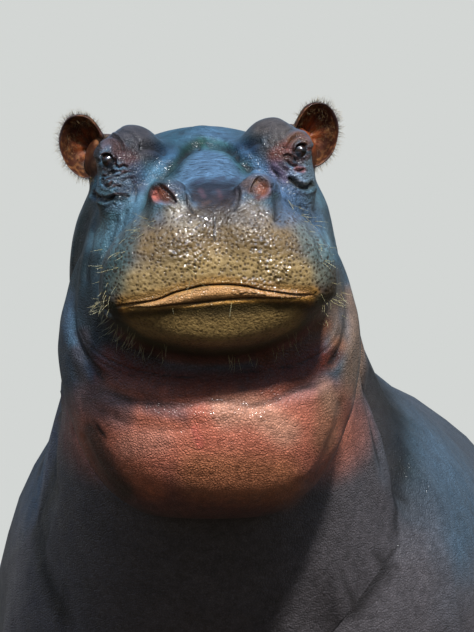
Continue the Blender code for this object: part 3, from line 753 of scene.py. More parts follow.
def fitLids(points, side):
    # domes the skin over the eyeball, opens it, and tucks the rest behind the ball; all in mm
    place = eyeFrame(side)
    local = localTo(points, place) * 1000
    radius = head["eyeRadius"] * 1000
    socket = radius + eyeShape["play"]
    reached = np.hypot(local[:, 0], local[:, 1]) < eyeShape["blend"][1]
    near = np.flatnonzero(reached & (local[:, 2] > eyeShape["behind"]))
    p = local[near]
    r = np.hypot(p[:, 0], p[:, 1])
    flat = np.stack([p[:, 0] * side, p[:, 1]], axis=1)
    beyond = np.full(len(near), eyeShape["clear"])
    some, gap = outsideOf(flat, eyeShape["opening"], eyeShape["clear"])
    beyond[some] = gap
    upper = ramp(p[:, 1], -2, 9)
    thick = eyeShape["lowerLid"] + (eyeShape["upperLid"] - eyeShape["lowerLid"]) * upper
    edge = eyeShape["lowerEdge"] + (eyeShape["upperEdge"] - eyeShape["lowerEdge"]) * upper
    reach = socket + thick * ramp((beyond + 0.5) / edge, 0, 1)
    steep = 0.9 * reach
    # a ball's surface, going on as a straight slope from where it gets steep
    dome = np.where(r < steep, np.sqrt(np.maximum(reach**2 - r**2, 0)),
                    0.436 * reach - 2.06 * (r - steep))
    over = (dome + p[:, 2] + np.sqrt((dome - p[:, 2]) ** 2 + eyeShape["soft"] ** 2)) / 2
    over = p[:, 2] + (over - p[:, 2]) * (1 - ramp(r, *eyeShape["blend"]))
    out = ramp(beyond, 2.5, 11)
    ball = np.sqrt(np.maximum(socket**2 - r**2, 0))
    tucked = ball - eyeShape["tuck"] * ramp(-beyond, 0.2, 3.0)
    p[:, 2] = np.where(beyond > 0, dome * (1 - out) + over * out, tucked)
    local[near] = p
    forward = np.array(place)
    points[near] = local[near] / 1000 @ forward[:3, :3].T + forward[:3, 3]


nostrilShape = {  # the pits' outlines in the front view, and how they go in
    "right": [(-93, -75), (-86, -62), (-76, -55), (-65, -59), (-54, -69), (-44, -87), (-54, -93),
              (-76, -91), (-88, -85)],
    "left": [(83, -68), (88, -53), (99, -43), (111, -46), (120, -60), (115, -75), (102, -82),
             (90, -80)],
    "depth": {"left": 15.0, "right": 10.5}, "wall": 8.0,  # mm
    "way": (-0.40, 0.90, -0.22),  # back, inwards and down, so that the outer wall shows
}


def openNostril(points, flat, mask, side):
    near, gap = outsideOf(flat, nostrilShape[side], 20)
    depth = nostrilShape["depth"][side] * ramp(-gap, 0, nostrilShape["wall"]) * mask[near] / 1000
    inward, back, down = nostrilShape["way"]
    way = headPlace.to_3x3() @ Vector((inward * bothSides[side], back, down))
    points[near] += np.array(way) * depth[:, None]


def refine(skin, choose):
    # halves the edges in the chosen places
    bm = bmesh.new()
    bm.from_mesh(skin.data)
    chosen = choose(readPoints(skin.data))
    bm.verts.ensure_lookup_table()
    edges = [e for e in bm.edges if chosen[e.verts[0].index] and chosen[e.verts[1].index]]
    bmesh.ops.subdivide_edges(bm, edges=edges, cuts=1, use_grid_fill=True)
    bm.to_mesh(skin.data)
    bm.free()


def faceArea(points):
    # the muzzle, cheeks and brows
    p = localTo(points, headPlace)
    return (p[:, 1] < 0.06) & (p[:, 2] > -0.34) & (points[:, 2] > 1.3)


def fineArea(points):
    # round the eyes, nostrils and mouth
    chosen = np.zeros(len(points), bool)
    p = localTo(points, headPlace)
    for side in bothSides.values():
        for spot, reach in ((head["eye"], 0.050), (head["nostril"], 0.040)):
            centre = np.array((spot.x * side, spot.y, spot.z))
            chosen |= np.linalg.norm(p - centre, axis=1) < reach
    flat, depth = frontMap(points)
    for line in (faceLines[0][0], faceLines[2][0]):
        near, away, _ = distanceTo(flat, line, 14)
        chosen[near[(away < 11) & (p[near, 1] < -0.25)]] = True
    return chosen


knobbly = [  # knobbly places seen along their length: line, reach, size and height in mm
    ([(-19, -66), (24, -60), (67, -66)], 34, 15, 1.7),
    ([(-19, -30), (22, -12), (67, -27)], 44, 11, 0.7),
]
sculpting = {  # in m: where each set of lines may work, by depth behind the eyes and by height
    "front": (-0.05, 0.20), "sides": (0.15, 0.55),  # how far the surface has to face that way
    "faceDepth": (-0.26, -0.16), "faceFloor": 1.2,
    "throatDepth": (-0.62, -0.50), "throatFloor": 0.95,
    "shoulderDepth": (0.22, 0.34), "shoulderEnds": (0.9, 1.2),
    "unevenness": 0.0012, "unevenSize": 0.045,
}


def sculptFace(skin):
    mesh = skin.data
    points, edges = readPoints(mesh), readEdges(mesh)
    local = localTo(points, headPlace)
    fit = (local[:, 1] < 0.12) & (points[:, 2] > sculpting["faceFloor"])
    relax(points, edges, 3, fit * 1.0)
    uneven = fit * sculpting["unevenness"] * lumps(points, sculpting["unevenSize"], 3)
    points += readNormals(mesh) * uneven[:, None]
    for side in bothSides.values():
        fitLids(points, side)
    writePoints(mesh, points)

    flat, depth = frontMap(points)
    normals = readNormals(mesh)
    facing = ramp(-(normals @ np.array(frontLook)), *sculpting["front"])
    face = facing * ramp(-depth, *sculpting["faceDepth"]) * (points[:, 2] > sculpting["faceFloor"])
    for line, width, height in faceSwells:
        carve(points, normals, flat, face, line, width, -height)
    for line, width, deep, ridge in faceLines:
        carve(points, normals, flat, face, line, width, deep, ridge)
    for name in bothSides:
        openNostril(points, flat, face, name)
    for line, reach, size, height in knobbly:
        near, away, _ = distanceTo(flat, line, reach)
        high = height / 1000 * (1 - ramp(away, 0.4 * reach, reach)) * face[near]
        points[near] += normals[near] * (high * lumps(points[near], size / 1000, 9))[:, None]
    throat = facing * ramp(-depth, *sculpting["throatDepth"])
    throat *= points[:, 2] > sculpting["throatFloor"]
    shoulder = facing * ramp(depth, *sculpting["shoulderDepth"])
    shoulder *= 1 - ramp(depth, *sculpting["shoulderEnds"])
    for lines, mask, blunt in ((throatLines, throat, 0.12), (shoulderLines, shoulder, 0.2)):
        for line, width, deep, ridge in lines:
            carve(points, normals, flat, mask, line, width, deep, ridge, blunt)
    sideways = ramp(np.abs(normals[:, 0]), *sculpting["sides"])
    local = localTo(points, bodyPlace)
    for line, width, deep, ridge in bodyLines:
        carve(points, normals, local[:, 1:] * 1000, sideways, line, width, deep, ridge, 0.25)
    local = localTo(points, headPlace)
    behindMuzzle = sideways * (local[:, 1] < -0.1)
    for line, width, deep, ridge in mouthSides:
        carve(points, normals, local[:, 1:] * 1000, behindMuzzle, line, width, deep, ridge)
    writePoints(mesh, points)


def thinSkin(skin, most):
    # drops the faces that shape least, so that the skin stays within what solid files hold
    total = (loopCounts(skin.data) - 2).sum()
    if total > most:
        skin.modifiers.new("thin", "DECIMATE").ratio = most / total
        applied(skin)


print("joining the clay")
skin = buildClay()
points = readPoints(skin.data)
back = points[:, 1] - bodyPlace.translation.y
tail = np.clip((back - body["tailFrom"]) / body["tailFade"], 0, 1)
relax(points, readEdges(skin.data), body["softening"], 1 - (1 - body["tailShare"]) * tail)
pressBroadShapes(points)
writePoints(skin.data, points)
print("thinning the body", len(skin.data.polygons))
thinBody(skin)
skin.vertex_groups.clear()
sliceSoles(skin)
print("adding the ears")
joinOn(skin, buildEars())
print("modelling the face", len(skin.data.polygons))
refine(skin, faceArea)
refine(skin, fineArea)
sculptFace(skin)
print("thinning the skin")
thinSkin(skin, body["skinTriangles"])
for polygon in skin.data.polygons:
    polygon.use_smooth = True
skin.data.calc_loop_triangles()
print("skin triangles", len(skin.data.loop_triangles))


# colour and finish of the hide
def linear(hexColour):
    # sRGB hex to the linear colour that shaders take
    parts = [int(hexColour[i : i + 2], 16) / 255 for i in (1, 3, 5)]
    return tuple(p / 12.92 if p <= 0.04045 else ((p + 0.055) / 1.055) ** 2.4 for p in parts)


bodyTints = {  # where each tint lies on the body
    "back": "#454d55", "flank": "#585355", "belly": "#8d6a60", "foot": "#4b4440",
    # the head's top: its own grey-blue, made lighter and bluer on upward faces as a painted sky
    # reflection
    "skySheenOnHeadTop": "#4f6b80", "headSide": "#3d5560", "headUnder": "#7c5048", "tail": "#46454a",
    "earBack": "#4a3a38", "earInside": "#3d1e11", "earDeep": "#9a4a20", "earStreak": "#8a5a34",
    # the lip's tint, then painted shade for the faces under the chin
    "lip": "#a5763f", "shadeUnderChin": "#2b2a1f",
}
# brush strokes on the front of the animal: line, reach in mm, tint, strength; some are painted
# shade or painted sky reflection, as marked
faceStrokesShadeAndSheen = [
    ([(-93, 5), (-4, 44), (85, 20)], 60, "#294a56", 0.9),
    ([(-175, -105), (-175, -194)], 48, "#365457", 0.85),
    ([(195, -93), (218, -173)], 40, "#547279", 0.9),
    # the bridge's grey-blue is partly painted sky reflection
    ([(17, 2), (17, -44)], 56, "#526f88", 0.95),
    ([(-76, -44), (-111, -93), (-147, -146)], 34, "#577987", 0.7),
    ([(117, -27), (156, -77), (191, -123)], 34, "#4a607d", 0.7),
    # painted shade in the valleys beside the bridge, the creases beside the muzzle and the hollows
    # behind the brows
    ([(-8, 18), (-26, 7), (-44, -12), (-65, -41), (-90, -69)], 17, "#11302a", 0.8),
    ([(1, 18), (35, 11), (60, -5), (77, -27)], 13, "#37665a", 0.7),
    ([(-93, -80), (-102, -101), (-104, -126)], 12, "#162e26", 0.7),
    ([(129, -77), (134, -101)], 10, "#2b3520", 0.6),
    ([(-85, 5), (-61, -5)], 24, "#0a1328", 0.8),
    ([(88, 9), (67, 2)], 22, "#0c233e", 0.8),
    ([(-143, 32), (-111, 44), (-115, 5)], 34, "#3e3838", 0.95),
    ([(106, 50), (138, 44), (131, 9)], 36, "#4c433d", 0.95),
    ([(-150, 2), (-129, -12)], 18, "#51281f", 0.75),
    ([(149, 9), (131, -5)], 18, "#6d3526", 0.75),
    ([(-186, -18), (-188, -52)], 12, "#497d94", 0.8),
    ([(-154, -41), (-136, -50)], 14, "#586674", 0.8),
    ([(-118, -30), (-111, -59)], 18, "#3e4657", 0.8),
    # painted shade in a fold under the right eye
    ([(-147, -64), (-122, -66)], 10, "#252e3c", 0.8),
    ([(-168, -94), (-147, -94)], 12, "#60798a", 0.7),
    ([(131, -27), (149, -41)], 18, "#554355", 0.8),
    # a painted sky reflection on the fold under the left eye
    ([(159, -37), (179, -44)], 10, "#8b9eb2", 0.6),
    ([(188, -21), (195, -48)], 14, "#6e818c", 0.8),
    # painted shade in the pocket at the foot of the right eye
    ([(-170, -11), (-168, -30)], 15, "#0d0a0c", 0.92),
    ([(172, 5), (173, -12)], 14, "#341f1e", 0.92),
    ([(147, -7), (157, -11)], 7, "#3e1d0b", 0.8),
    ([(168, -28), (179, -30)], 7, "#7d3a2f", 0.8),
    # painted shade in the pockets and pouches under the eyes
    ([(-177, -50), (-168, -59)], 7, "#232527", 0.85),
    ([(-190, -75), (-172, -82), (-136, -77)], 7, "#0a1113", 0.9),
    ([(159, -48), (179, -60), (193, -57)], 9, "#2f3121", 0.9),
    ([(-182, 12), (-165, 21), (-149, 11)], 12, "#4e3732", 0.8),
    ([(159, 25), (173, 32), (188, 21)], 11, "#683e20", 0.8),
    # painted shade down the right cheek and along the jowl's edge, the side away from the light
    ([(-204, -96), (-216, -146), (-223, -199), (-227, -262)], 20, "#0a1713", 0.92),
    ([(227, -105), (241, -155), (250, -194)], 12, "#3a4f5c", 0.7),
    # painted shade on the lower right cheek, away from the light
    ([(-195, -194), (-195, -230), (-197, -279)], 32, "#0a130f", 0.92),
    ([(230, -217), (238, -262)], 26, "#41341f", 0.85),
    # painted sky reflection beside the valleys of the bridge
    ([(74, -2), (92, -18), (106, -32)], 13, "#5b809f", 0.4),
    ([(-97, -41), (-72, -25), (-54, -5)], 16, "#4c7490", 0.4),
    # painted shade along the valleys beside the bridge
    ([(3, 20), (-19, 12), (-36, -5), (-58, -27)], 8, "#12291f", 0.75),
    ([(10, 16), (38, 9), (63, -7), (81, -27)], 7, "#1d3640", 0.7),
]
muzzleStrokesAndShade = [
    ([(-85, -164), (22, -155), (138, -164)], 60, "#69522e", 0.95),
    ([(-129, -235), (22, -205), (182, -217)], 36, "#967c4f", 0.95),
    ([(-133, -141), (-150, -194), (-154, -235)], 26, "#384743", 0.75),
    ([(182, -137), (206, -181), (213, -217)], 22, "#5c6359", 0.7),
    ([(-47, -107), (-19, -123)], 26, "#8f7f65", 0.8),
    ([(85, -101), (106, -119)], 26, "#6c5a42", 0.8),
    # painted shade in the middle crease of the muzzle
    ([(20, -117), (22, -133), (22, -155)], 3, "#2a1f16", 0.6),
    ([(1, -98), (22, -101), (45, -94)], 15, "#342519", 0.85),
    ([(-22, -109), (22, -119), (67, -107)], 16, "#43341d", 0.7),
    ([(-143, -265), (-76, -251), (-22, -233), (26, -226), (79, -230), (141, -240),
      (200, -246)], 9, "#8b652f", 0.85),
    ([(-125, -272), (-76, -267), (-31, -258), (4, -251), (40, -247), (85, -249), (138, -253),
      (184, -254)], 11, "#c5915a", 1.0),
    ([(-140, -278), (-93, -278), (-40, -274), (40, -265), (120, -262),
      (195, -260)], 5, "#d79c48", 0.9),
    ([(-111, -301), (22, -315), (156, -297)], 36, "#9d804d", 0.95),
    # painted shade in the band under the lower lip
    ([(-129, -288), (-40, -281), (49, -274), (182, -270)], 8, "#473714", 0.8),
    # painted shade round the chin's lower rim
    ([(-147, -306), (-93, -338), (-4, -354), (85, -349), (156, -326),
      (195, -294)], 10, "#353c25", 0.85),
]
nostrilStrokesAndShade = [
    # painted shade in the creases beside the nostrils
    ([(-29, -77), (-24, -94), (-15, -109)], 5, "#3a3029", 0.7),
    ([(67, -66), (65, -84), (58, -101)], 5, "#3a3029", 0.7),
    ([(-76, -66), (-44, -62)], 20, "#2e3039", 0.85),
    ([(74, -55), (106, -55)], 20, "#573f31", 0.85),
    ([(-83, -75)], 15, "#995446", 1.0),
    ([(-70, -68), (-65, -80)], 12, "#6b3a22", 0.9),
    # painted shade in the dark corner of the right nostril's pit
    ([(-56, -73), (-51, -84)], 9, "#4a3026", 0.9),
    ([(106, -66)], 17, "#804b35", 1.0),
    # painted shade on the dark side and foot of the left nostril's pit
    ([(86, -66)], 8, "#4a2c1c", 0.85),
    ([(99, -80)], 8, "#4a2718", 0.8),
    ([(95, -52)], 6, "#754e2f", 0.8),
]
# the jowls, with painted shade under the jaw and the chin's painted shadow on the throat
jowlStrokesAndChinShadow = [  # and the saddle between the nostrils
    ([(-15, -62), (24, -60), (60, -62)], 15, "#17171f", 0.95),
    ([(-10, -78), (24, -82), (56, -78)], 17, "#291c19", 0.92),
    ([(-10, -52), (1, -46)], 5, "#2c2c3c", 0.6),
    ([(19, -50), (38, -44)], 5, "#34323f", 0.6),
    ([(51, -50), (63, -44)], 5, "#2c2c3c", 0.6),
    ([(-4, -66), (3, -77)], 5, "#5a4048", 0.6),
    ([(15, -62), (12, -75)], 4, "#1c1a24", 0.6),
    ([(29, -68), (33, -80)], 5, "#563c40", 0.6),
    ([(47, -62), (45, -73)], 4, "#1d1b26", 0.6),
    ([(1, -91), (12, -87)], 4, "#57423a", 0.6),
    ([(35, -91), (47, -87)], 4, "#1f1814", 0.5),
    # painted shade in the corner between the right brow and ear
    ([(-186, 16), (-188, 2), (-190, -16)], 8, "#1c1510", 0.9),
    ([(229, -283), (236, -315), (245, -343)], 22, "#6b5544", 0.85),
    # painted shade on the right jowl, away from the light
    ([(-211, -267), (-206, -324), (-197, -351)], 17, "#12181a", 0.8),
    ([(209, -262), (206, -306)], 14, "#5a5640", 0.8),
    # painted shade at the right side of the jaw, away from the light
    ([(-163, -272), (-156, -308)], 13, "#2e3529", 0.8),
    ([(134, -91), (140, -123)], 13, "#3a4654", 0.7),
    ([(-93, -96), (-93, -123)], 11, "#303b36", 0.6),
    # painted shadow under both sides of the jaw, where the chin's shadow falls
    ([(-190, -288), (-172, -333), (-136, -361), (-93, -375)], 28, "#0a0e0d", 0.95),
    ([(213, -306), (198, -338), (165, -361), (111, -372)], 20, "#66391e", 0.88),
    ([(-246, -262), (-254, -342), (-243, -413)], 24, "#374553", 0.85),
    ([(270, -253), (275, -342), (262, -422)], 24, "#91745d", 0.85),
    ([(-214, -324), (-191, -377)], 18, "#302424", 0.7),
    ([(-225, -354), (-214, -390)], 16, "#3a3032", 0.8),
    ([(241, -342), (227, -372)], 18, "#82553a", 0.8),
    # the chin's shadow on the throat, painted, darkest along its lower edge
    ([(-182, -399), (-129, -420), (-49, -434), (4, -425), (76, -434), (156, -409),
      (236, -358)], 17, "#36170f", 0.9),
    ([(-165, -372), (-76, -404), (22, -411), (111, -400), (200, -365)], 34, "#5e2513", 0.9),
    ([(-165, -493), (22, -511), (209, -493)], 90, "#cf7a5f", 0.95),
    ([(-4, -573), (138, -582)], 50, "#cc8259", 0.8),
    ([(-129, -564), (-85, -591)], 30, "#c77555", 0.8),
    ([(-129, -520), (-76, -511)], 30, "#d28d76", 0.7),
    ([(-93, -452), (-31, -464)], 20, "#714d49", 0.85),
    # a painted highlight on the throat
    ([(35, -461), (93, -461), (147, -496)], 34, "#d1977c", 0.85),
    ([(218, -413), (234, -457)], 18, "#ac806e", 0.7),
    ([(-138, -443), (-182, -425)], 18, "#744f43", 0.8),
    ([(-13, -489), (-4, -520)], 9, "#c95f57", 0.7),
    ([(-147, -466), (-200, -440)], 34, "#7b6361", 0.7),
    ([(-4, -466), (13, -511)], 26, "#c06b53", 0.7),
    ([(227, -440), (218, -511)], 30, "#8c6b4f", 0.6),
    # painted shade in the fold on the throat's right side, away from the light
    ([(-197, -493), (-175, -550), (-138, -600)], 20, "#413932", 0.8),
    ([(-188, -484), (-182, -493), (-173, -505)], 4, "#241718", 0.7),
]
# painted shade on the right ear, where the brow stands before it
paintedShadeOnEars = [  # laid over the ears' own tints, where the brow stands before them
    ([(-202, 21), (-198, -4), (-191, -34)], 13, "#22160f", 0.75),
    ([(-211, -21), (-197, -43)], 10, "#2a1c14", 0.5),
]
backStrokesShadeAndSkySheen = [  # the same for the neck and shoulders behind the jowls
    # painted sky reflection on the right side of the neck
    ([(-250, -440), (-236, -528), (-218, -617)], 40, "#4a7291", 0.85),
    ([(280, -431), (289, -511), (302, -600)], 34, "#998b82", 0.9),
    # painted sky reflection on the right shoulder
    ([(-289, -493), (-298, -600)], 44, "#235170", 0.85),
    # painted shade in the deep fold of the left shoulder
    ([(316, -413), (351, -511), (373, -617)], 44, "#16211c", 0.95),
    ([(405, -493), (458, -582), (476, -724)], 60, "#4c6170", 0.9),
]


paintAreas = {  # in m
    "front": (-0.10, 0.25),  # how far the surface has to face that way
    "face": (-0.52, -0.36), "faceFloor": 0.9,  # by depth behind the eyes, and by height
    "behind": (0.34, 0.44), "behindEnds": (0.9, 1.3),
    "muzzle": (0.24, 0.34), "nostrils": (0.345, 0.385),  # how far before the eyes
}
mouthLine = [(-133, -267), (-76, -254), (-22, -240), (26, -237), (85, -242), (141, -249),
             (188, -253)]
lipReach = (12, 26)  # mm from that line where its tint begins to fade and where it ends
poredPlaces = [  # line, mm from it where the pores begin to thin out and where they end, strength
    ([(-140, -198), (22, -173), (202, -190)], 62, 108, 1.0),
    ([(-93, -306), (22, -324), (147, -306)], 20, 45, 0.55),
]
bareLip = ([(-125, -269), (-76, -260), (-22, -246), (26, -240), (85, -244), (184, -253)], 9, 20)

wetPlaces = [  # where water stands on the skin: line, reach in mm, strength
    ([(-54, -96), (-36, -119), (-12, -133), (4, -123)], 18, 1.2),
    ([(85, -89), (99, -107), (95, -126), (109, -112)], 16, 1.2),
    ([(-40, -160), (-40, -187), (-19, -198), (-4, -176)], 18, 1.5),
    ([(106, -165), (113, -194), (133, -219), (145, -208)], 20, 1.8),
    ([(76, -228), (129, -235)], 12, 1.6),
    ([(19, -112), (20, -148)], 7, 0.9),
    ([(60, -244), (106, -247), (170, -254)], 9, 1.7),
    ([(-177, -16), (-168, -41), (-172, -77)], 20, 0.9),
    ([(179, -12), (173, -34), (181, -59)], 20, 0.9),
    ([(-184, 11), (-168, 12)], 6, 0.7),
    ([(106, 18), (129, 5)], 8, 0.7),
    ([(-70, -57), (-40, -69)], 18, 0.6),
    ([(74, -55), (106, -44)], 18, 0.6),
    ([(173, -84), (213, -155)], 34, 0.6),
    ([(-143, -93), (-179, -173)], 34, 0.5),
    ([(-31, -27), (67, -27)], 24, 0.3),
    ([(4, -461), (76, -461), (129, -472)], 26, 0.35),
    ([(-111, -315), (22, -329), (138, -311)], 20, 0.3),
]
wrinkledPlaces = [
    ([(-31, -34), (20, -21), (67, -34)], 42, 1.6),
    ([(-12, -75), (24, -78), (58, -69)], 26, 0.9),
    ([(-129, 32), (-133, 5)], 36, 0.9),
    ([(124, 44), (131, 14)], 36, 0.9),
    ([(-67, 37), (-4, 44), (67, 37)], 40, 0.6),
    ([(-161, -44), (-165, -93)], 44, 0.9),
    ([(170, -21), (173, -75)], 44, 0.9),
    ([(-165, -128), (-186, -199)], 50, 0.6),
    ([(173, -110), (218, -181)], 50, 0.6),
    ([(-76, -66), (-47, -66)], 20, 0.6),
    ([(77, -55), (109, -55)], 20, 0.6),
    ([(-236, -315), (-227, -422)], 50, 0.5),
]


def strokeShare(flat, mask, strokes):
    share = np.zeros(len(flat))
    for line, reach, strength in strokes:
        near, away, _ = distanceTo(flat, line, 1.4 * reach)
        share[near] = np.maximum(share[near], strength * (1 - ramp(away, 0.3 * reach, 1.2 * reach)))
    return share * mask


def brush(colour, flat, mask, strokes):
    for line, reach, tint, strength in strokes:
        near, away, _ = distanceTo(flat, line, 1.4 * reach)
        share = (strength * (1 - ramp(away, 0.25 * reach, 1.3 * reach)) * mask[near])[:, None]
        colour[near] += share * (np.array(linear(tint)) - colour[near])


def mixed(colour, tint, share):
    colour += share[:, None] * (np.array(linear(bodyTints[tint])) - colour)


mapName = "OFBake"  # the unwrap that colours are kept in
unwrapping = {
    "headShare": 0.56,  # how much of the map the head takes, so that the face stays fine
    "headBack": 0.15, "headFloor": 1.15,  # where the head ends, in m
    "sharpest": 66, "gap": 0.0015,  # degrees between an island's faces; share of the map
}


def unwrapSkin(skin):
    mesh = skin.data
    mesh.uv_layers.new(name=mapName)
    for other in bpy.context.view_layer.objects:
        other.select_set(other == skin)
    bpy.context.view_layer.objects.active = skin
    bpy.context.scene.tool_settings.mesh_select_mode = (False, False, True)
    centres = np.empty(len(mesh.polygons) * 3)
    mesh.polygons.foreach_get("center", centres)
    centres = centres.reshape(-1, 3)
    onHead = localTo(centres, headPlace)[:, 1] < unwrapping["headBack"]
    onHead &= centres[:, 2] > unwrapping["headFloor"]
    mine = np.repeat(onHead, loopCounts(mesh))
    for chosen in (onHead, ~onHead):
        mesh.polygons.foreach_set("select", chosen)
        bpy.ops.object.mode_set(mode="EDIT")
        bpy.ops.uv.smart_project(angle_limit=math.radians(unwrapping["sharpest"]),
                                 island_margin=unwrapping["gap"])
        bpy.ops.object.mode_set(mode="OBJECT")
    layer = mesh.uv_layers[mapName].uv
    uv = np.empty(len(mesh.loops) * 2, np.float32)
    layer.foreach_get("vector", uv)
    uv = uv.reshape(-1, 2)
    uv[mine, 0] *= unwrapping["headShare"]
    uv[~mine, 0] = unwrapping["headShare"] + uv[~mine, 0] * (1 - unwrapping["headShare"])
    layer.foreach_set("vector", uv.ravel())
    skin.select_set(False)


def rootFinder(skin):
    # finds the place on the skin's unwrap that is nearest to a spot in space
    mesh = skin.data
    uv = np.empty(len(mesh.loops) * 2, np.float32)
    mesh.uv_layers[mapName].uv.foreach_get("vector", uv)
    corners = np.empty(len(mesh.loops), int)
    mesh.loops.foreach_get("vertex_index", corners)
    spots = np.zeros((len(mesh.vertices), 2))
    spots[corners] = uv.reshape(-1, 2)
    tree = KDTree(len(mesh.vertices))
    for i, point in enumerate(readPoints(mesh)):
        tree.insert(point, i)
    tree.balance()
    return lambda spot: spots[tree.find(spot)[1]]


def storeFloat(mesh, name, values):
    layer = mesh.attributes.new(name, "FLOAT", "POINT")
    layer.data.foreach_set("value", np.asarray(values, np.float32))


def grooves(points, normals, edges, size):
    # how deep each point lies in a crease: above 0 in valleys, below 0 on ridges
    smooth = points.copy()
    relax(smooth, edges, size)
    return np.einsum("ij,ij->i", smooth - points, normals) * 1000


def earShares(points):
    # 1 inside an ear's cup, 1 anywhere on the ear, and how deep in the cup; r is 1 at the rim
    cup, ear, deep = (np.zeros(len(points)) for _ in range(3))
    for side in bothSides.values():
        p = localTo(points, earPlace(side))
        r = np.hypot(p[:, 0] / earShape["halfWidth"], p[:, 2] / earShape["halfHeight"])
        on = (r < 1.12) & (p[:, 1] > -0.02) & (p[:, 1] < 0.11)
        ear = np.maximum(ear, on * ramp(r, 1.12, 1.05) * (1 - ramp(p[:, 1], 0.05, 0.09)))
        wall = 0.046 * (1 - ramp(r, 0.30, 1.0)) + 0.016  # how far back the cup's wall lies
        inside = on * (r < 0.97) * (p[:, 1] < wall)
        cup = np.maximum(cup, inside)
        deep = np.maximum(deep, inside * (1 - ramp(r, 0.2, 0.75)))
    return cup, ear, deep


def paintHide(skin):
    mesh = skin.data
    points, normals, edges = readPoints(mesh), readNormals(mesh), readEdges(mesh)
    flat, depth = frontMap(points)
    back = localTo(points, headPlace)[:, 1]
    height, up = points[:, 2], normals[:, 2]
    onHead = ramp(height - 0.95 * (back - 0.10), 1.25, 1.50) * (1 - ramp(back, 0.12, 0.36))
    under = onHead * ramp(-up, 0.0, 0.6)
    colour = np.tile(np.array(linear(bodyTints["flank"])), (len(points), 1))
    for tint, share in (
        ("back", ramp(up + 0.9 * (height - 1.0), 0.0, 0.8)),
        ("belly", ramp(-up - 1.3 * (height - 0.55), 0.1, 0.9) * 0.8),
        ("foot", 1 - ramp(height, 0.08, 0.5)),
        ("headSide", onHead),
        # upward faces of the head take a painted sky reflection
        ("skySheenOnHeadTop", onHead * ramp(up, 0.2, 0.7)),
        ("headUnder", under),
        # downward faces under the muzzle are darkened as painted shade
        ("shadeUnderChin", under * ramp(-depth, *paintAreas["muzzle"])),
        ("tail", ramp(points[:, 1] - bodyPlace.translation.y, 1.12, 1.20)),
    ):
        mixed(colour, tint, share)

    facing = ramp(-(normals @ np.array(frontLook)), *paintAreas["front"])
    face = facing * ramp(-depth, *paintAreas["face"]) * (height > paintAreas["faceFloor"])
    onMuzzle = face * ramp(-depth, *paintAreas["muzzle"])
    onNostrils = face * ramp(-depth, *paintAreas["nostrils"])
    behind = facing * ramp(depth, *paintAreas["behind"])
    behind *= 1 - ramp(depth, *paintAreas["behindEnds"])
    # the strokes on the neck and shoulders hold painted sky reflection and painted shade
    brush(colour, flat, behind, backStrokesShadeAndSkySheen)
    near, away, _ = distanceTo(flat, mouthLine, lipReach[1])
    lip = np.zeros(len(points))
    lip[near] = 1 - ramp(away, *lipReach)
    mixed(colour, "lip", lip * onMuzzle)
    # the strokes lay the hide's tints together with painted shade, the chin's painted shadow and
    # painted sky reflection
    for mask, tints in ((face, faceStrokesShadeAndSheen), (onMuzzle, muzzleStrokesAndShade), (onNostrils, nostrilStrokesAndShade),
                        (face, jowlStrokesAndChinShadow)):
        brush(colour, flat, mask, tints)
    cup, ear, deep = earShares(points)
    streaks = 0.5 + 0.5 * lumps(points, 0.005, 6)
    streaks = ramp(streaks + 0.25 * lumps(points, 0.018, 7), 0.45, 0.85)
    for tint, share in (("earBack", ear), ("earInside", cup), ("earDeep", deep * 0.7),
                        ("earStreak", cup * streaks * 0.7)):
        mixed(colour, tint, share)
    # painted shade over the right ear
    brush(colour, flat, face, paintedShadeOnEars)
    rgba = np.ones((len(points), 4), np.float32)
    rgba[:, :3] = colour
    layer = mesh.attributes.new("tint", "FLOAT_COLOR", "POINT")
    layer.data.foreach_set("color", rgba.ravel())

    # how deep each point lies in a crease; the hide darkens it by this as painted shade
    storeFloat(mesh, "hollow", np.clip(grooves(points, normals, edges, 6), -1.5, 1.5))
    pored = np.zeros(len(points))
    for line, start, end, strength in poredPlaces:
        near, away, _ = distanceTo(flat, line, end)
        pored[near] = np.maximum(pored[near], strength * (1 - ramp(away, start, end)))
    line, start, end = bareLip
    near, away, _ = distanceTo(flat, line, end)
    pored[near] *= ramp(away, start, end)
    storeFloat(mesh, "pores", pored * onMuzzle)
    pebble = np.clip(1.0 - 0.85 * pored * onMuzzle - 0.9 * ear, 0, 1)
    storeFloat(mesh, "pebbles", pebble * (1 - 0.5 * ramp(up, 0.35, 0.8) * onHead))
    storeFloat(mesh, "wet", strokeShare(flat, face, wetPlaces))
    everywhere = 0.16 * (1 - ear) * (1 - pored)
    storeFloat(mesh, "wrinkles", np.maximum(strokeShare(flat, face, wrinkledPlaces), everywhere))


def addNode(tree, kind, inputs=None, **settings):
    # adds a node, sets it up, and feeds its inputs with values, sockets or nodes' first outputs
    node = tree.nodes.new("ShaderNode" + kind)
    for key, value in settings.items():
        setattr(node, key, value)
    for key, value in (inputs or {}).items():
        if isinstance(value, bpy.types.Node):
            value = value.outputs[0]
        if isinstance(value, bpy.types.NodeSocket):
            tree.links.new(value, node.inputs[key])
        else:
            node.inputs[key].default_value = value
    return node


def newMaterial(name):
    material = bpy.data.materials.new(name)
    material.use_nodes = True
    return material, material.node_tree, material.node_tree.nodes["Principled BSDF"]


